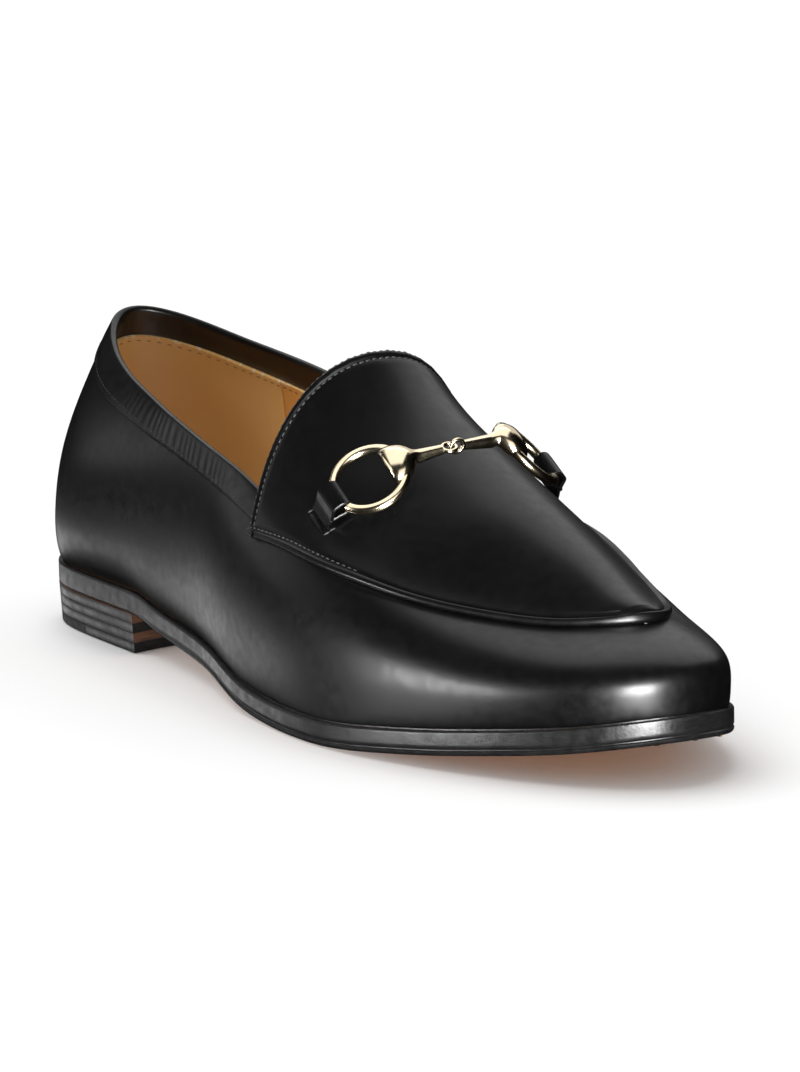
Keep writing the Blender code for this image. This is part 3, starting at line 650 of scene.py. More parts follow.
gold = metal("pale_gold", (0.80, 0.66, 0.45), (0.86, 0.74, 0.53), (0.14, 0.22))
brass = metal("brass", (0.62, 0.42, 0.16), (0.74, 0.53, 0.24), (0.22, 0.38))

# Quarters and vamp

SOFT_REACH = 0.16
SOFT_SPAN = 0.8
SOFT_STEPS = np.linspace(-2.2, 2.2, 9)


def soft_skin(t, side, v, out=0.0):
    """Skin with the turn at the belly eased, so that it mirrors without a line."""
    t, side, v, out = arrays(t, side, v, out)
    window = ease(1 - np.abs(v - 1) / SOFT_SPAN) * SOFT_REACH
    weights = np.exp(-0.5 * SOFT_STEPS ** 2)
    weights /= weights.sum()
    total = sum(w * skin(t, side, v + k * window) for w, k in zip(weights, SOFT_STEPS))
    return total + skin_normal(t, side, v) * out[..., None]


def both_sides(t):
    """Stations and sides round the shoe, outer side first."""
    back = t[-2:0:-1]
    return np.concatenate([t, back]), np.concatenate([-np.ones(len(t)), np.ones(len(back))])


def rises(t, side):
    """Distance from the belly to the rim up the side."""
    return np.linalg.norm(rim_loop(t, side) - belly_loop(t, side), axis=-1)


REAR = np.linspace(0, TONGUE_T, 121)
FRONT = np.concatenate([np.linspace(TONGUE_T, 0.9, 91), np.linspace(0.9, 1, 31)[1:]])
ALL_T = np.concatenate([REAR, FRONT[1:]])
CALF_WALL = 1.1 * MM
TUCKED_IN = 0.8 * MM

t, side = both_sides(ALL_T)
rear = t < TONGUE_T - 1e-9
top = np.where(rear, 2 - TUCKED_IN / rises(t, side), 2.0)
rows = [soft_skin(t, side, v) for v in np.linspace(0, 1, 17)[:-1]]
rows += [soft_skin(t, side, 1 + (top - 1) * q) for q in np.linspace(0, 1, 27)]
inside = []
for v in np.linspace(0, 1, 5)[:-1]:
    drop = skin_normal(t, side, 1) * -CALF_WALL * (0.7 + 0.3 * v)
    inside.append(skin(t, side, v) + drop)
for q in np.linspace(0, 1, 9):
    inside.append(offset_skin(t, side, 1 + (top - 1) * q, 0 * t - CALF_WALL))
upper = Work().grid(rows + inside[::-1], round_columns=True, round_rows=True)

# The roof of the vamp under the apron
roof_t = FRONT[:-1]
roof_v = np.linspace(2, 3, 13)
sheets = []
for out in (0.0, -CALF_WALL):
    sheet = np.stack([offset_skin(roof_t, -1, v, out) for v in roof_v]
                     + [offset_skin(roof_t, 1, v, out) for v in roof_v[-2::-1]])
    tip = offset_skin(1.0, -1, 2.0, out)
    sheet = np.concatenate([sheet, np.broadcast_to(tip, (len(sheet), 1, 3))], 1)
    upper.grid(sheet)
    sheets.append(sheet)
upper.join(sheets[0][:, 0], sheets[1][:, 0])
upper.build("calf_upper", [calf], "calf", ["upper"])

# Topline binding: one strip folded over the edge, with a slight pucker between two distances from the back
PUCKER_FROM = 45
PUCKER_TO = 132
BIND_OUT = 0.5 * MM
BIND_IN = -1.5 * MM
BIND_EDGE = 0.35 * MM
STITCH_INSET = 1.3 * MM
PUCKER = 0.055 * MM


def over_heel(t):
    """Stations and sides of the rear, from the outer side round the heel to the inner."""
    return np.concatenate([t[::-1], t[1:]]), np.concatenate([-np.ones(len(t)), np.ones(len(t) - 1)])


ring_t, ring_side = over_heel(np.linspace(0, TONGUE_T, 321))
height = rises(ring_t, ring_side)
up_dir = unit(skin(ring_t, ring_side, 2.0) - skin(ring_t, ring_side, 1.9))
reach = rim_x(ring_t) / MM
pucker = PUCKER * np.clip((reach - PUCKER_FROM) / 25, 0, 1) * np.clip((PUCKER_TO - reach) / 18, 0, 1)
pucker *= np.sin(2 * np.pi * reach / 3.3 + 1.6 * np.sin(2 * np.pi * reach / 19) + ring_side)


def bind(drop, out, rise=0.0):
    """Point of the strip at a distance below the rim and out from the skin."""
    if out > 0:
        out = out + pucker * np.sin(np.pi * np.clip(drop / BINDING_WIDTH, 0, 1) ** 0.7)
    at = 2 - drop / height
    return offset_skin(ring_t, ring_side, at, 0 * ring_t + out) + up_dir * rise


eighths = np.linspace(0, 1, 9)[1:]
middle = (BIND_OUT + BIND_IN) / 2
half = (BIND_OUT - BIND_IN) / 2
inner_end = BINDING_WIDTH + 1.2 * MM
inner_face = BIND_IN + 0.4 * MM
section = [bind(BINDING_WIDTH - below * MM, out * MM) for below, out in ((0.1, 0), (0, 0.2), (0.1, 0.42))]
section.append(bind(BINDING_WIDTH - BIND_EDGE, BIND_OUT))
section += [bind((BINDING_WIDTH - BIND_EDGE) * (1 - q), BIND_OUT) for q in eighths]
section += [bind(0.0, middle + half * math.cos(a), 0.85 * half * math.sin(a))
            for a in np.radians(np.linspace(0, 180, 13))[1:]]
section += [bind(inner_end * q, BIND_IN) for q in eighths]
section.append(bind(inner_end, inner_face))
section += [bind(0.6 * MM + BINDING_WIDTH * q, inner_face) for q in np.linspace(1, 0, 6)]
section.append(bind(0.6 * MM, -0.1 * MM))
binding = Work().grid(section, round_rows=True)
for end in (0, -1):
    binding.face([row[end] for row in section])
binding.build("topline_binding", [calf_fold], "calf")

work = Work()
at = 2 - (BINDING_WIDTH - STITCH_INSET) / height
stitch_row(work, offset_skin(ring_t, ring_side, at, 0 * ring_t + BIND_OUT),
           skin_normal(ring_t, ring_side, at), pitch=2.3 * MM, length=1.6 * MM,
           start=2 * MM, end=2 * MM, sink=0.08 * MM)
work.build("binding_stitches", [thread_black], "calf", weld=0)

# Lining
SEAM_X = 0.040
SEAM_STEP = 0.25 * MM
LINING_OUT = 1.2 * MM
LINING_IN = 2.0 * MM


def taper(t):
    """Thins the wall towards the tongue's free edge."""
    return ease((rim_x(t) - TONGUE_EDGE) / (9 * MM))


def lining_point(t, side, v, inner):
    """Lining: inner is 0 on its hidden face and 1 on the face that shows."""
    t, side, v = arrays(t, side, v)
    thin = np.where(v > 2, taper(t), 1.0)
    thin = np.where(t < TONGUE_T, 1.0, thin)
    depth = LINING_OUT + (LINING_IN - LINING_OUT) * inner
    if inner:
        depth = depth + SEAM_STEP * (rim_x(t) < SEAM_X)
    near_top = np.clip(1 - (2 - BINDING_WIDTH / rises(t, side) - v) * rises(t, side) / (2.5 * MM), 0, 1)
    depth = depth + np.where(t < TONGUE_T, SEAM_STEP * near_top * inner, 0)
    depth = depth * (0.5 + 0.5 * thin)
    outward = skin_normal(t, side, np.maximum(v, 1))
    low = np.clip(1 - v, 0, 1)[..., None]
    direction = outward * (1 - 0.2 * low) - np.array([0, 0, 0.8]) * low
    return skin(t, side, v) - depth[..., None] * direction


work = Work()
seam_t = float(np.interp(SEAM_X, rim_x(REAR), REAR))
rear_t = np.unique(np.concatenate([REAR[REAR < seam_t - 0.002], [seam_t - 2e-4, seam_t + 2e-4],
                                   REAR[REAR > seam_t + 0.002]]))
lining_t, lining_side = over_heel(rear_t)
cut = 2 - BINDING_WIDTH / rises(lining_t, lining_side)
low_rows = np.linspace(0, 1, 22)
hidden, shown = (np.stack([lining_point(lining_t, lining_side, cut * q, inner) for q in low_rows])
                 for inner in (0, 1))
work.grid(hidden).grid(shown)
# Faces in front of the seam take the darker front lining, with its painted shade.
front_part = rim_x((lining_t[1:] + lining_t[:-1]) / 2) > SEAM_X
work.slots = [int(front_part[i % len(front_part)]) for i in range(len(work.slots))]
work.join(hidden[-1], shown[-1], mark=1.1).join(hidden[0], shown[0])

levels = {}
for s in (-1, 1):
    cut_v = float(2 - BINDING_WIDTH / rises(TONGUE_T, s))
    wall = [cut_v * q for q in low_rows] + list(cut_v + (2 - cut_v) * np.linspace(0, 1, 5)[1:])
    levels[s] = wall + list(np.linspace(2, 3, 13)[1:])
sheets = []
for inner in (0, 1):
    near = [lining_point(FRONT[:-1], -1, v, inner) for v in levels[-1]]
    far = [lining_point(FRONT[:-1], 1, v, inner) for v in levels[1][-2::-1]]
    last = [lining_point(1.0, -1, min(v, 2.0), inner) for v in levels[-1]]
    sheet = np.concatenate([np.stack(near + far), np.array(last + last[-2::-1])[:, None]], 1)
    work.grid(sheet, slot=1)
    sheets.append(sheet)
work.join(sheets[0][:, 0], sheets[1][:, 0], slot=1)
for row in (0, -1):
    work.join(sheets[0][row], sheets[1][row], slot=1)
work.build("lining", [lining, lining_front_shaded], "lining_leather", weld=2e-5)

work = Work()
at = cut - STITCH_INSET / rises(lining_t, lining_side)
stitch_row(work, lining_point(lining_t, lining_side, at, 1), -skin_normal(lining_t, lining_side, at),
           pitch=2.6 * MM, length=1.9 * MM, width=0.4 * MM, start=1.5 * MM, end=1.5 * MM)
work.build("lining_stitches", [thread_tan], "lining_leather", weld=0)

# Apron and tongue: a grid that starts square to the lip all round
APRON_LEVEL = 1.45 * MM
LIP = (
    (0.35, 0.02), (0.10, 0.14), (-0.08, 0.42), (-0.15, 0.80), (-0.10, 1.18), (0.06, 1.48), (0.26, 1.66),
    (0.50, 1.76), (0.80, 1.80), (1.10, 1.75), (1.35, 1.60), (1.55, 1.38), (1.72, 1.17), (1.88, 1.06),
    (2.04, 1.10), (2.22, 1.22), (2.50, 1.33), (2.90, 1.40), (3.40, 1.44), (4.00, 1.45))
LIP_CREASE = 13
TONGUE_ROLL = (
    (0, .12, .28, .50, .80, 1.1, 1.4, 1.65, 1.85, 2.02, 2.2, 2.45, 2.9, 3.6),
    (.05, .62, 1.05, 1.36, 1.54, 1.58, 1.50, 1.32, 1.14, 1.08, 1.17, 1.30, 1.40, 1.45))
TIP_LIFT = 0.35
TIP_REACH = 14 * MM
TIP_EVEN = 7 * MM
MIDDLE_ROWS = 26
CORNER = 18 * MM
SHEET_GAP = 0.02 * MM
TONGUE_DIP = 0.95 * MM


def edge_v(t):
    return 1 + apron_low(share_of(t))


x_steps = np.concatenate([np.arange(0, 4.2, 0.2), np.arange(4.6, 8, 0.4), np.arange(8.6, 90, 0.6)]) * MM
rim_fine = np.linspace(TONGUE_T, 1, 4000)
border_t = np.interp(x_steps[x_steps + TONGUE_EDGE < rim_x(0.86)] + TONGUE_EDGE, rim_x(rim_fine), rim_fine)
border_t = np.concatenate([border_t, np.linspace(0.86, 1, 64)])
count = len(border_t)
whole_t = np.concatenate([border_t, border_t[-2::-1]])
whole_side = np.concatenate([-np.ones(count), np.ones(count - 1)])
border = skin(whole_t, whole_side, edge_v(whole_t))
run_of = run_along(border)

# Sheet of the last's roof, to read back where a point of it lies
sheet_t = np.concatenate([np.linspace(TONGUE_T, 0.97, 300)[:-1], np.linspace(0.97, 1, 40)])
sheet_u = np.concatenate([np.linspace(-1.5, 0, 90)[:-1], np.linspace(0, 1.5, 90)])
grid_t, grid_u = np.meshgrid(sheet_t, sheet_u, indexing="ij")
sheet = skin(grid_t, np.where(grid_u < 0, -1, 1), 3 - np.abs(grid_u))
columns = len(sheet_u)
tree_of = BVHTree.FromPolygons(sheet.reshape(-1, 3).tolist(), grid_faces(len(sheet_t), columns))


def place_on_sheet(point):
    """Station and signed height of the sheet's point nearest to a point."""
    found, _, index, _ = tree_of.find_nearest(Vector(point))
    r, c = divmod(index, columns - 1)
    corner = sheet[r, c]
    ahead = (sheet[r + 1, c] - corner + sheet[r + 1, c + 1] - sheet[r, c + 1]) / 2
    across = (sheet[r, c + 1] - corner + sheet[r + 1, c + 1] - sheet[r + 1, c]) / 2
    base = np.stack([ahead, across], 1)
    q = np.clip(np.linalg.lstsq(base, np.array(found) - corner, rcond=None)[0], 0, 1)
    return (sheet_t[r] + (sheet_t[r + 1] - sheet_t[r]) * q[0],
            sheet_u[c] + (sheet_u[c + 1] - sheet_u[c]) * q[1])


tangent = unit(np.gradient(border, axis=0))
rim_out = skin_normal(whole_t, whole_side, edge_v(whole_t))
inward = unit(np.cross(rim_out, tangent))
lip_d, lip_h = np.array(LIP).T * MM
bands = len(LIP)
from_corner = np.minimum(run_of, run_of[-1] - run_of)
blend = ease((from_corner - 0.3 * CORNER) / (0.7 * CORNER))
# Station and signed height of each point of the lip: by its section at the corners, square to it elsewhere
band = np.zeros((len(whole_t), bands, 2))
for j, (t, side) in enumerate(zip(whole_t, whole_side)):
    v = np.linspace(float(edge_v(t)), 3, 120)
    run = run_along(skin(t, side, v))
    for k, d in enumerate(np.maximum(lip_d, 0)):
        own = np.array([t, side * (3 - np.interp(d, run, v))])
        square = own
        if d > 0 and blend[j] > 0:
            square = np.array(place_on_sheet(border[j] + inward[j] * d))
        band[j, k] = own + (square - own) * blend[j]


def far_side(rows):
    """Rows of the inner side, in the order of the outer side's."""
    return rows[count - 1:][::-1]


def across_apron(rows, middle):
    """Rows from the outer side's lip to the inner side's."""
    return np.concatenate([rows[:count], middle, far_side(rows)[:, ::-1]], 1)


q = np.linspace(0, 1, MIDDLE_ROWS)[1:-1][None, :, None]
middle = band[:count, -1:] * (1 - q) + far_side(band)[:, -1:] * q
all_t, all_u = np.moveaxis(across_apron(band, middle), -1, 0)
all_side = np.where(all_u < 0, -1, 1)
base = skin(all_t, all_side, 3 - np.abs(all_u))
out = skin_normal(all_t, all_side, 3 - np.abs(all_u))
tip_gap = np.linalg.norm(border - border[count - 1], axis=-1)
# Near the tip the lip lies on even lines from the border to its inner end
depth_share = (np.maximum(lip_d, 0) / lip_d[-1])[None, :, None]
even = np.exp(-(tip_gap[:count] / TIP_EVEN) ** 2)[:, None, None]
inner_columns = -1 - np.arange(bands)
for at, rim, rim_up in ((np.arange(bands), border[:count], rim_out[:count]),
                        (inner_columns, far_side(border), far_side(rim_out))):
    deep, deep_up = base[:, at[-1]][:, None], out[:, at[-1]][:, None]
    rim, rim_up = rim[:, None], rim_up[:, None]
    base[:, at] += (rim + (deep - rim) * depth_share - base[:, at]) * even
    lean = unit(rim_up * (1 - depth_share) + deep_up * depth_share)
    out[:, at] = unit(out[:, at] * (1 - even) + lean * even)
# Heights of the face over the last, from the lip's profile and the tongue's rolled edge
raised = TIP_LIFT * np.exp(-(tip_gap / TIP_REACH) ** 2)[:, None]
lip_part = lip_h + raised * (np.maximum(lip_h - APRON_LEVEL, 0) + np.minimum(lip_h, 0.4 * MM)) - APRON_LEVEL
lip_part = across_apron(lip_part, np.zeros((count, MIDDLE_ROWS - 2)))
slide = across_apron(inward[:, None] * np.minimum(lip_d, 0)[None, :, None],
                     np.zeros((count, MIDDLE_ROWS - 2, 3)))
from_back = rim_x(all_t) - TONGUE_EDGE
roll = np.interp(from_back / MM, *TONGUE_ROLL) * MM - APRON_LEVEL
step = np.where(lip_part < 0, lip_part, np.maximum(roll, lip_part))
step = np.where(roll < 0, np.minimum(roll, lip_part), step)
top = base + slide + out * (APRON_LEVEL + step)[..., None]
dip = np.clip(1 - from_back / (2 * MM), 0, 1) * np.clip((0.98 - np.abs(all_u)) / 0.08, 0, 1)
bottom = base + out * (SHEET_GAP - TONGUE_DIP * dip)[..., None]
work = Work().grid(top).grid(bottom)
for edge in (0, -1):
    work.join(top[:, edge], bottom[:, edge])
nose = (top[0] + bottom[0]) / 2 - np.array([0.25 * MM, 0, 0])
work.grid(np.stack([top[0], nose, bottom[0]]))
work.build("apron_roof", [calf], "calf", ["apron"], weld=4e-6, sharp=55)


def tongue_row(back):
    """Line on the tongue at a distance in front of its edge, side to side."""
    j = int(np.argmin(np.abs(rim_x(border_t) - TONGUE_EDGE - back)))
    return top[j, LIP_CREASE:-LIP_CREASE], out[j, LIP_CREASE:-LIP_CREASE]


work = Work()
stitch_row(work, *tongue_row(2.0 * MM), pitch=1.65 * MM, length=1.25 * MM, width=0.36 * MM,
           height=0.36 * MM, start=0.5 * MM, end=0.5 * MM, sink=-0.03 * MM)
stitch_row(work, *tongue_row(0.4 * MM), pitch=1.65 * MM, length=1.0 * MM, width=0.32 * MM,
           height=0.30 * MM, start=0.5 * MM, end=0.5 * MM, sink=0.0)
work.build("tongue_stitches", [thread_painted_glint], "calf", weld=0)

work = Work()
STITCH_REACH = 42 * MM
until = int(np.searchsorted(run_of, STITCH_REACH))
for row in (LIP_CREASE + 2, -LIP_CREASE - 3):
    stitch_row(work, top[8:until, row], out[8:until, row], pitch=1.75 * MM, length=1.3 * MM,
               width=0.34 * MM, height=0.30 * MM, sink=0.04 * MM)
work.build("apron_stitches", [thread_painted_glint], "calf", weld=0)

# Bar tacks where the tongue meets the quarters
TACK_AHEAD = np.array([[1.0, 0, -0.35]])
TACK_SIZE = (3.0 * MM, 0.40 * MM, 0.45 * MM)
work = Work()
tack = 6
for row_step, row in ((1, 2), (-1, -3)):
    for k in range(5):
        at = row + row_step * (2 * k + 1)
        beads(work, top[tack, at][None] + out[tack, at] * 0.05 * MM, TACK_AHEAD, out[tack, at][None],
              TACK_SIZE)
work.build("bar_tacks", [thread_black], "calf", weld=0)



def sole_row(inset, level):
    """Line round the shoe at a distance in from the sole's edge and up from its underside."""
    x, y = sole_loop(t, side, inset)
    return np.stack([x, y, underside(x) + level], -1)


# Insole sock
SOCK = ((2.2, 0.1), (2.2, 1.5), (2.35, 1.85), (2.7, 2.0), (5, 2.05), (9, 2.1), (14, 2.12))
t, side = both_sides(np.linspace(0, 1, 121))
rows = [sole_row(inset * MM, SOLE_EDGE + FIT_GAP + rise * MM) for inset, rise in SOCK]
work = Work().grid(np.stack(rows), round_columns=True).cap(rows[0], 3).cap(rows[-1], 3)
work.build("insole_sock", [sock], "lining_leather", ["insole"])

# Outsole: distances in from its edge
CHANNEL = {
    "share": (0, .25, .50, .70, .88, .95, 1),
    "outer": (12.0, 12.6, 12.3, 12.4, 12.0, 11.0, 9.6),
    "inner": (9.0, 8.2, 8.2, 9.0, 8.6, 8.8, 9.6),
    "paint_outer": (3.5, 3.6, 3.2, 1.6, 1.1, 1.0, 1.0),
    "paint_inner": (1.2, 1.2, 1.2, 1.4, 1.0, 1.0, 1.0),
}
t, side = both_sides(np.linspace(0, 1, 261))
share = share_of(t)


def by_side(kind):
    outer = np.interp(share, CHANNEL["share"], CHANNEL[kind + "outer"])
    inner = np.interp(share, CHANNEL["share"], CHANNEL[kind + "inner"])
    return np.where(side < 0, outer, inner) * MM


channel = by_side("")
paint = by_side("paint_")
GROOVE_FROM = HEEL_BREAST / SOLE_LENGTH
fade = np.clip((share - GROOVE_FROM) / GROOVE_FROM, 0, 1)
# Top: inset and height over the edge, with a ridge that closes the gap under the upper
SOLE_TOP = ((14.0, 0), (6.0, 0), (2.1, 0), (2.0, .5), (1.6, .5), (1.5, 0), (0.6, 0))
# Edge: inset and share of its height, with a groove that fades out at the heel
SOLE_WALL = (
    (.30, .995), (.12, .97), (.02, .93), (0, .88), (0, .45), (0, .33), (.12, .30), (.36, .27), (.40, .25),
    (.36, .22), (.12, .19), (0, .16), (.04, .11), (.18, .06), (.38, .02), (.62, 0))
GROOVE_LOW = 0.13
GROOVE_HIGH = 0.32
# Underneath: shift from the channel's middle, depth, and mark
SOLE_LINES = (
    (-4.6, 0, 0), (-3.55, 0, 0), (-3.38, 0, 0), (-3.25, .16, 1), (-3.0, .22, 1), (-2.75, .16, 1),
    (-2.62, 0, 0), (-2.45, 0, 0), (-1.0, 0, 0), (1.0, 0, 0), (2.2, 0, 0), (2.4, 0, 0), (2.52, .18, 1),
    (2.95, .26, 1), (3.4, .18, 1), (3.52, 0, 0), (3.7, 0, 0), (5.0, 0, 0))
PAINTED = 2
PAINT_BLUR = 0.12 * MM
rows = [sole_row(inset * MM, SOLE_EDGE + rise * MM) for inset, rise in SOLE_TOP]
for inset, level in SOLE_WALL:
    in_groove = GROOVE_LOW < level < GROOVE_HIGH
    rows.append(sole_row(inset * MM * (fade if in_groove else 1), level * SOLE_EDGE))
lines = [(SOLE_WALL[-1][0] * MM, 0, PAINTED), (paint - PAINT_BLUR, 0, PAINTED), (paint + PAINT_BLUR, 0, 0)]
lines += [(channel + shift * MM, depth * MM, mark) for shift, depth, mark in SOLE_LINES]
points = np.stack([sole_row(inset, depth) for inset, depth, mark in lines])
marks = np.array([[mark] for inset, depth, mark in lines])
work = Work().grid(np.stack(rows), mark=PAINTED, round_columns=True)
work.grid(points, slot=1, mark=marks, round_columns=True).cap(points[-1], 9, 1).cap(rows[0], 9)
sole = work.build("sole_piece", [edge_paint, sole_tan], "sole_leather", ["outsole"])
# The tan leather leaves no brown light on the floor
sole.visible_glossy = False
for name in ("sole_piece", "insole_sock"):
    bpy.data.objects[name].visible_diffuse = False

# Stitch slots along the channel, dark with the thread's own colour and with painted shade of the holes, and
# the pins at the toe
work = Work()
loop = sole_row(channel, 0)
place, ahead, _ = resample(np.concatenate([loop, loop[:1]]), 2.9 * MM)
keep = place[:, 0] > HEEL_BREAST - 3 * MM
up = np.tile(np.array([0, 0, -1.0]), (keep.sum(), 1))
across = np.cross(up, unit(ahead[keep]))
beads(work, place[keep] - up * 0.02 * MM, across, up, (1.7 * MM, 0.85 * MM, 0.22 * MM))
work.build("sole_stitches", [slot_painted_shade], "sole_leather", weld=0)

pins = Work()


def pin(x, y, z, width, height):
    """Head of a pin underneath."""
    beads(pins, np.array([[x, y, z]]) * MM, np.array([[1.0, 0, 0]]), np.array([[0, 0, -1.0]]),
          (width * MM, width * MM, height * MM))


for x, y in ((259.0, -5.0), (260.0, 4.0), (257.0, 12.0)):
    pin(x, y, float(underside(x * MM)) / MM + 0.05, 1.5, 0.5)


# Heel

def station_at(side, inset, reach, slant=0.0):
    t = np.linspace(0, 0.6, 600)
    x, y = sole_loop(t, side, inset)
    return float(np.interp(reach, x + y * math.tan(slant), t))


HEEL_STEPS = 48
BREAST_STEPS = 24
LAYER_GAP = 0.01 * MM
LAYER_ROUND = 0.04 * MM
TOP_ROUND = 0.12 * MM
JOINT_GAP = 0.05 * MM
PATCH_INSET = 3.1 * MM
PATCH_BACK = 4.4 * MM
# Shares of the rounding: how far up from the edge, and how far in
EDGE_ROUND = ((0, 1), (.3, .3), (1, 0))


def joint_stations(inset, shift):
    """Stations of both sides at the slanted joint of the top piece."""
    return [station_at(s, inset, TOP_PIECE_JOINT + shift, TOP_PIECE_SLANT) for s in (-1, 1)]


def sides_of(inset, begins, ends):
    """Lines of the outer side forward and of the inner side back."""
    outer = sole_loop(np.linspace(begins[0], ends[0], HEEL_STEPS), -1, inset)
    inner = sole_loop(np.linspace(ends[1], begins[1], HEEL_STEPS), 1, inset)
    return np.stack(outer, -1), np.stack(inner, -1)


def heel_outline(z, joined=False, inset=0.0, back=0.0):
    """Outline of the heel, from its back or from the top piece's joint to its breast."""
    inset = HEEL_TAPER * (1 - z / HEEL_HEIGHT) + inset
    ends = [station_at(s, inset, HEEL_BREAST - back) for s in (-1, 1)]
    outer, inner = sides_of(inset, joint_stations(inset, JOINT_GAP) if joined else (0, 0), ends)
    if not joined:
        inner = inner[:-1]
    q = np.linspace(-1, 1, BREAST_STEPS + 1)[1:-1, None]
    breast = outer[-1] * (1 - q) / 2 + inner[0] * (1 + q) / 2
    breast[:, :1] -= BREAST_HOLLOW * (1 - q * q)
    return np.pad(np.concatenate([outer, breast, inner]), ((0, 0), (0, 1)), constant_values=z)


def back_outline(z):
    """Outline of the rubber behind the joint."""
    inset = HEEL_TAPER * (1 - z / HEEL_HEIGHT)
    outer, inner = sides_of(inset, (0, 0), joint_stations(inset, -JOINT_GAP))
    return np.pad(np.concatenate([outer, inner[:-1]]), ((0, 0), (0, 1)), constant_values=z)


def eased(outline, low, high, rounding, **how):
    """Rings of a heel layer with its edges rounded off a little."""
    levels = [(low + rise * rounding, draw) for rise, draw in EDGE_ROUND]
    levels += [(high - rise * rounding, draw) for rise, draw in EDGE_ROUND[::-1]]
    rings = []
    for z, draw in levels:
        ring = outline(z, **how)
        ring[:, :2] -= unit(ring[:, :2] - ring[:, :2].mean(0)) * draw * rounding
        rings.append(ring)
    return rings


lift = (HEEL_HEIGHT - TOP_PIECE) / 3
for number in range(3):
    low_z = TOP_PIECE + number * lift
    rings = eased(heel_outline, low_z + LAYER_GAP, low_z + lift - LAYER_GAP, LAYER_ROUND)
    points = np.stack(rings)
    breast_end = HEEL_STEPS + BREAST_STEPS
    work = Work().grid(points[:, :HEEL_STEPS]).grid(points[:, HEEL_STEPS - 1:breast_end], slot=1)
    work.grid(np.concatenate([points[:, breast_end - 1:], points[:, :1]], 1))
    work.face(rings[0], 1).face(rings[-1], 1)
    layer, slot = (layer_black, "lift_rubber") if number == 1 else (layer_brown, "lift_leather")
    work.build("heel_layer_%d" % (number + 1), [edge_paint, layer], slot, ["heel_lift_%d" % (number + 1)])

rings = eased(heel_outline, 0.0, TOP_PIECE - 2 * LAYER_GAP, TOP_ROUND, joined=True)
patch = heel_outline(0.0, joined=True, inset=PATCH_INSET, back=PATCH_BACK)
work = Work().grid(np.stack(rings), round_columns=True).face(rings[-1])
work.join(rings[0], patch, round_columns=True).face(patch, 1)
work.build("heel_patch_leather", [edge_paint, heel_tan], "top_leather", ["heel_top_leather"])
rings = eased(back_outline, 0.0, TOP_PIECE - 2 * LAYER_GAP, TOP_ROUND)
work = Work().grid(np.stack(rings), round_columns=True).face(rings[0]).face(rings[-1])
work.build("heel_patch_rubber", [rubber], "top_rubber", ["heel_top_rubber"])

for x, y in ((56.5, -20.5), (53.6, -8.5), (53.4, 3.5), (56.2, 13.5), (40.0, -21.5), (43.5, 16.5),
             (31.0, 18.8)):
    pin(x, y, 0.12, 1.7, 0.36)
pins.build("brass_pins", [brass], "pale_gold", weld=0)

# Snaffle bit


def across_vamp(reach, height):
    """Point over the apron's top at a distance from the crown line, and the way out there."""
    side = -1 if reach < 0 else 1
    v = np.linspace(3, 1.5, 240)
    distance = np.linalg.norm(skin(BIT_T, side, v) - crown_line(BIT_T), axis=-1)
    at = float(np.interp(abs(reach), distance, v))
    outward = skin_normal(BIT_T, side, at)
    return Vector(skin(BIT_T, side, at) + outward * (APRON_TOP + height)), Vector(outward)


def frame_of(point, first, outward):
    """Axes at a point: the first along the line given, the third outward."""
    third = outward.normalized()
    one = (first - third * first.dot(third)).normalized()
    two = third.cross(one)
    return Matrix((
        (one.x, two.x, third.x, point.x),
        (one.y, two.y, third.y, point.y),
        (one.z, two.z, third.z, point.z),
        (0, 0, 0, 1)))


def placed(matrix, points):
    """Points of a frame in the shoe's own."""
    m = np.array(matrix)
    return np.asarray(points) @ m[:3, :3].T + m[:3, 3]


def torus(work, seat, radius, wire, steps, sides):
    """Adds a closed ring of wire to a piece."""
    around, section = turns(steps)[:, None], turns(sides)[None]
    reach = radius + wire / 2 * np.cos(section)
    points = np.stack([reach * np.cos(around), reach * np.sin(around),
                       wire / 2 * np.sin(section) + 0 * around], -1)
    return work.grid(placed(seat, points), round_columns=True, round_rows=True)


link, link_out = across_vamp(-BIT_SIDE, LINK_CLEARANCE)
seats = {}
for word, way in (("outer", -1), ("inner", 1)):
    centre, outward = across_vamp(-BIT_SIDE + way * BIT_HALF_SPAN, BIT_CLEARANCE + RING_WIRE / 2)
    seats[word] = frame_of(centre, link - centre, outward) @ Matrix.Rotation(-way * RING_TILT, 4, "X")
caps = {word: seat @ Vector((RING_RADIUS - CAP_INSET, 0, 0)) for word, seat in seats.items()}
chain = (caps["inner"] - caps["outer"]).normalized()
pull = EYE_RADIUS - (EYE_WIRE + FIT_GAP) / 2
eyes = {
    "outer": frame_of(link - chain * pull, chain, link_out),
    "inner": frame_of(link + chain * pull, chain, link_out) @ Matrix.Rotation(math.pi / 2, 4, "X"),
}

# Cap folded round the wire: distance from the wire towards the link, half width, half height
CAP = np.array([
    (-3.60, 3.00, 1.10), (-3.72, 4.30, 1.80), (-3.92, 5.00, 2.25), (-3.90, 5.35, 2.52),
    (-3.60, 5.55, 2.76), (-3.00, 5.65, 3.00), (-2.20, 5.60, 3.16), (-1.30, 5.38, 3.22),
    (-0.40, 4.98, 3.16), (0.40, 4.46, 2.98), (1.10, 3.84, 2.70), (1.70, 3.16, 2.38),
    (2.15, 2.52, 2.08), (2.45, 2.06, 1.90), (2.65, 1.78, 1.78), (3.10, 1.68, 1.68)]) * MM
# Part of its height under the wire, and where it turns from the ring's axis to the bar's
CAP_FLAT = 0.72
CAP_TURN = 0.2 * MM
CAP_TURN_RUN = 3.5 * MM
BAR_ROOT = 1.66 * MM
BAR_END = 1.12 * MM
BAR_GAP = 0.1 * MM

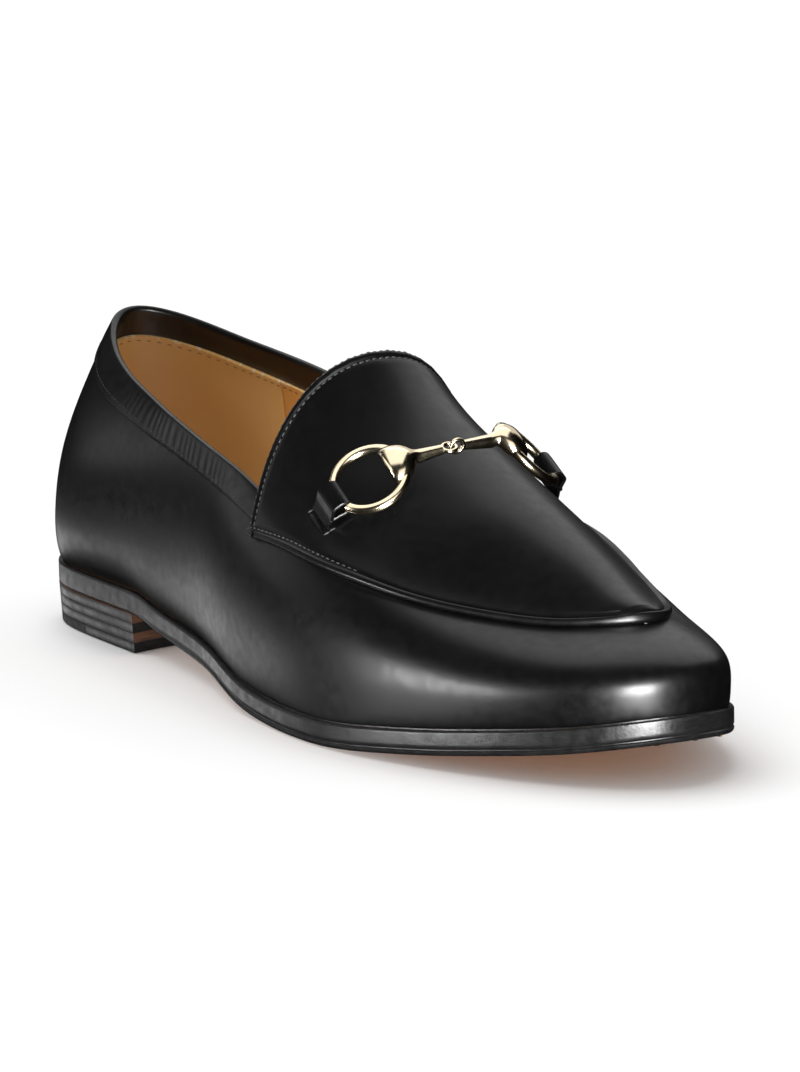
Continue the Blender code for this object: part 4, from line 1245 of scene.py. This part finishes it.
for word, seat in seats.items():
    ring = torus(Work(), seat, RING_RADIUS, RING_WIRE, 96, 20)
    ring.build("ring_" + word, [gold], "pale_gold", ["bit_ring_" + word])

    start = np.array(seat @ Vector((RING_RADIUS, 0, 0)))
    run = np.array(eyes[word].translation) - start
    reach = np.linalg.norm(run) - EYE_RADIUS - BAR_GAP
    x_dir, y_dir, z_dir = np.array(seat)[:3, :3].T
    bar = np.linspace((CAP[-1, 0], BAR_ROOT, BAR_ROOT), (reach, BAR_END, BAR_END), 12)
    a = turns(40)
    rows = []
    for s, half_wide, half_high in np.concatenate([CAP, bar[1:]]):
        q = min(max((s - CAP_TURN) / CAP_TURN_RUN, 0), 1)
        direction = unit(x_dir * (1 - q) + unit(run) * q)
        two = unit(y_dir - direction * (y_dir @ direction))
        three = np.cross(direction, two)
        three *= np.sign(three @ z_dir)
        flat = 1 if s > CAP[-2, 0] else CAP_FLAT
        rise = np.where(np.sin(a) < 0, flat, 1) * np.sin(a) * half_high
        rows.append(start + direction * s + half_wide * np.cos(a)[:, None] * two + rise[:, None] * three)
    half_bit = Work().grid(np.stack(rows), round_columns=True).face(rows[0]).face(rows[-1])
    torus(half_bit, eyes[word], EYE_RADIUS, EYE_WIRE, 40, 14)
    half_bit.build("bar_" + word, [gold], "pale_gold", ["bit_bar_" + word], weld=1e-7, sharp=50)

# Leather tabs that hold the rings: each leaves its slit, goes round the wire and back under itself
TAIL = 4.2 * MM
TAB_BEND = 2.3 * MM
TAB_OVER = 1.25 * MM
TAB_UNDER = 0.42 * MM
NEAR = 0.9 * MM
STITCH_SIZE = (1.7 * MM, 0.4 * MM, 0.4 * MM)
# Half of a tab's section: distance in from its side, and share of half its thickness
TAB_SIDE = np.array([(.2, -1), (.05, -.6), (0, 0), (.05, .6), (.2, 1)])
slit_work = Work()
slit_thread = Work()
for word, seat in seats.items():
    place_of = seat @ Matrix.Rotation(math.pi, 4, "Z") @ Matrix.Translation((RING_RADIUS, 0, 0))
    tab_side = -1 if place_of.translation.y < crown_line(BIT_T)[1] else 1
    around_bit = np.linspace(BIT_T - 0.1, BIT_T + 0.1, 81)[:, None]
    surface = offset_skin(around_bit, tab_side, np.linspace(1.3, 3, 160)[None], APRON_LEVEL)
    local = placed(place_of.inverted(), surface.reshape(-1, 3))

    def ground(x, y=None):
        """Height of the vamp at a point, or its highest under the tab's width."""
        near = np.abs(local[:, 0] - x) < NEAR
        if y is None:
            return float(local[near & (np.abs(local[:, 1]) < 0.55 * TAB_WIDTH), 2].max())
        return float(local[near & (np.abs(local[:, 1] - y) < NEAR), 2].mean())

    r = RING_WIRE / 2 + 0.08 * MM + TAB_THICKNESS / 2
    path = [(TAIL + 0.9 * MM, ground(TAIL + 0.9 * MM) - 0.35 * MM),
            (TAIL + 0.2 * MM, ground(TAIL) + 0.5 * MM)]
    for x in np.linspace(TAIL - 0.6 * MM, TAB_BEND, 4):
        q = (x - TAB_BEND) / (TAIL - 0.6 * MM - TAB_BEND)
        over = ground(x) + TAB_OVER
        path.append((x, over * q + max(over, r * 0.75) * (1 - q)))
    for angle in np.radians(np.linspace(65, 295, 15)):
        path.append((r * math.cos(angle), r * math.sin(angle)))
    for x in np.linspace(TAB_BEND, TAIL - 0.3 * MM, 4):
        path.append((x, max(ground(x) + TAB_UNDER, -r * 0.9)))
    path = np.array(path)
    run = run_along(path)
    curve = np.stack([np.interp(np.linspace(0, run[-1], 70), run, line) for line in path.T], -1)
    for _ in range(6):
        curve[1:-1] = (curve[:-2] + 2 * curve[1:-1] + curve[2:]) / 4
    tangent = unit(np.gradient(curve, axis=0))
    normal = np.stack([-tangent[:, 1], tangent[:, 0]], -1)
    edge = np.column_stack([TAB_WIDTH / 2 - TAB_SIDE[:, 0] * MM, TAB_SIDE[:, 1] * TAB_THICKNESS / 2])
    section = np.concatenate([edge[:1] * (-1, 1), edge, edge[:0:-1] * (-1, 1)])
    strap = placed(place_of, [[(x + n[0] * b, y, z + n[1] * b) for y, b in section]
                              for (x, z), n in zip(curve, normal)])
    tab = Work().grid(strap, round_columns=True).face(strap[0]).face(strap[-1])
    tab.build("tab_" + word, [calf_fold], "calf", ["bit_tab_" + word])

    ahead, _, outward = np.array(place_of)[:3, :3].T
    for x, width in ((TAIL + 0.75 * MM, 0.5 * MM), (TAIL + 2.3 * MM, 0.42 * MM)):
        slit = [(x, y, ground(x, y) + 0.06 * MM) for y in np.linspace(-0.56, 0.56, 9) * TAB_WIDTH]
        radii = np.interp(np.linspace(0, 1, 9), (0, .1, .9, 1), (.1, 1, 1, .1)) * width
        slit_work.grid(tube(placed(place_of, slit), radii, 10, across=outward), round_columns=True)
        ends = [(x - 0.5 * MM, y, ground(x, y) + 0.15 * MM) for y in np.array([-0.62, 0.62]) * TAB_WIDTH]
        beads(slit_thread, placed(place_of, ends), ahead[None], outward[None], STITCH_SIZE)
slit_work.build("tab_slits", [calf_fold], "calf")
slit_thread.build("tab_stitches", [thread_painted_glint], "calf", weld=0)


# Floor, light and camera

CAMERA_PLACE = (1.2349339, -0.6866549, 0.2905944)
CAMERA_TARGET = (0.00398, 0.00702, 0.03489)
CAMERA_ROLL = math.radians(1.165)
CAMERA_LENS = 210.8
FLOOR_REACH = 8.0

# Cards that the leather mirrors: where each stands, its width and height, and its brightness
CARDS = {
    "toe_card": ((0.50, -0.15, 0.03), (0.22, 0.19), 46),
    "side_card": ((-0.16, -0.70, -0.02), (0.26, 0.13), 20),
    "low_card": ((-0.80, -0.20, -0.16), (0.60, 0.10), 1.4),
    "heel_card": ((-0.90, -0.42, 0.34), (0.22, 0.40), 0.8),
    "vamp_card": ((-0.50, 0.42, 0.62), (1.10, 0.80), 0.8),
}
# Cards that only the metal mirrors
METAL_CARDS = {
    "metal_top": ((-0.10, -0.10, 0.80), (1.20, 1.00), 1.4),
    "metal_side": ((-0.30, -0.80, 0.30), (0.80, 0.40), 1.6),
    "metal_front": ((0.80, -0.20, 0.35), (0.60, 0.40), 1.2),
    "metal_back": ((-0.80, 0.20, 0.40), (0.60, 0.40), 0.9),
}
LINING_CARD = ((-0.35, -0.45, 0.75), (0.50, 0.50), 3.0)
AIM = Vector((0, 0, 0.03))
CEILING_FROM = (-0.45, -0.10, 1.0)
CEILING_ENERGY = 1.9
CEILING_ANGLE = math.radians(60)
ROOM_LIGHT = 0.60
FLOOR_TONES = (0.94, 0.95)
FLOOR_LEVEL = -0.2 * MM


def card(name, place, size, brightness, receivers=None):
    """Bright card that shows in the gloss only, of all pieces or of the receivers."""
    data = bpy.data.lights.new(name, "AREA")
    data.shape = "RECTANGLE"
    data.size, data.size_y = size
    data.energy = brightness * math.pi * size[0] * size[1]
    lamp = added(name, data)
    lamp.location = place
    lamp.rotation_euler = (lamp.location - AIM).to_track_quat("Z", "Y").to_euler()
    lamp.visible_camera = False
    lamp.visible_diffuse = False
    if receivers:
        lamp.light_linking.receiver_collection = receivers
    return lamp


metal_pieces = bpy.data.collections.new("metal_pieces")
for name in ("ring_outer", "ring_inner", "bar_outer", "bar_inner"):
    metal_pieces.objects.link(bpy.data.objects[name])
    bpy.data.objects[name].visible_glossy = False
for name, values in CARDS.items():
    card(name, *values)
for name, values in METAL_CARDS.items():
    card(name, *values, receivers=metal_pieces)

linings = bpy.data.collections.new("linings")
for name in ("lining", "insole_sock"):
    linings.objects.link(bpy.data.objects[name])
card("lining_card", *LINING_CARD, receivers=linings).visible_diffuse = True

data = bpy.data.lights.new("ceiling", "SUN")
data.energy = CEILING_ENERGY
data.angle = CEILING_ANGLE
lamp = added("ceiling", data)
lamp.rotation_euler = Vector(CEILING_FROM).to_track_quat("Z", "Y").to_euler()
lamp.visible_glossy = False

world = bpy.data.worlds.new("studio")
bpy.context.scene.world = world
world.use_nodes = True
world.node_tree.nodes["Background"].inputs["Color"].default_value = (1, 1, 1, 1)
world.node_tree.nodes["Background"].inputs["Strength"].default_value = ROOM_LIGHT
world.cycles_visibility.glossy = False

material, tree, shader = shader_of("floor_paper")
coords = node(tree, "ShaderNodeTexCoord")
speck = noise(tree, coords, 3, 2)
low_tone, high_tone = [(tone, tone, tone) for tone in FLOOR_TONES]
tree.links.new(ramp(tree, speck, ((0.3, low_tone), (0.7, high_tone))), shader.inputs["Base Color"])
shader.inputs["Roughness"].default_value = 0.8
shader.inputs["Specular IOR Level"].default_value = 0.2
mesh = bpy.data.meshes.new("floor")
corners = [(x * FLOOR_REACH, y * FLOOR_REACH, FLOOR_LEVEL) for x, y in ((-1, -1), (1, -1), (1, 1), (-1, 1))]
mesh.from_pydata(corners, [], [(0, 1, 2, 3)])
mesh.materials.append(material)
floor = added("floor", mesh)
floor.visible_glossy = False
floor.visible_shadow = False

data = bpy.data.cameras.new("camera")
data.sensor_width = 36
data.lens = CAMERA_LENS
data.clip_end = 40
camera = added("camera", data)
camera.location = CAMERA_PLACE
turn = (camera.location - Vector(CAMERA_TARGET)).to_track_quat("Z", "Y").to_matrix().to_4x4()
camera.matrix_world = Matrix.Translation(CAMERA_PLACE) @ turn @ Matrix.Rotation(-CAMERA_ROLL, 4, "Z")
bpy.context.scene.camera = camera
bpy.context.scene.view_settings.view_transform = "Standard"
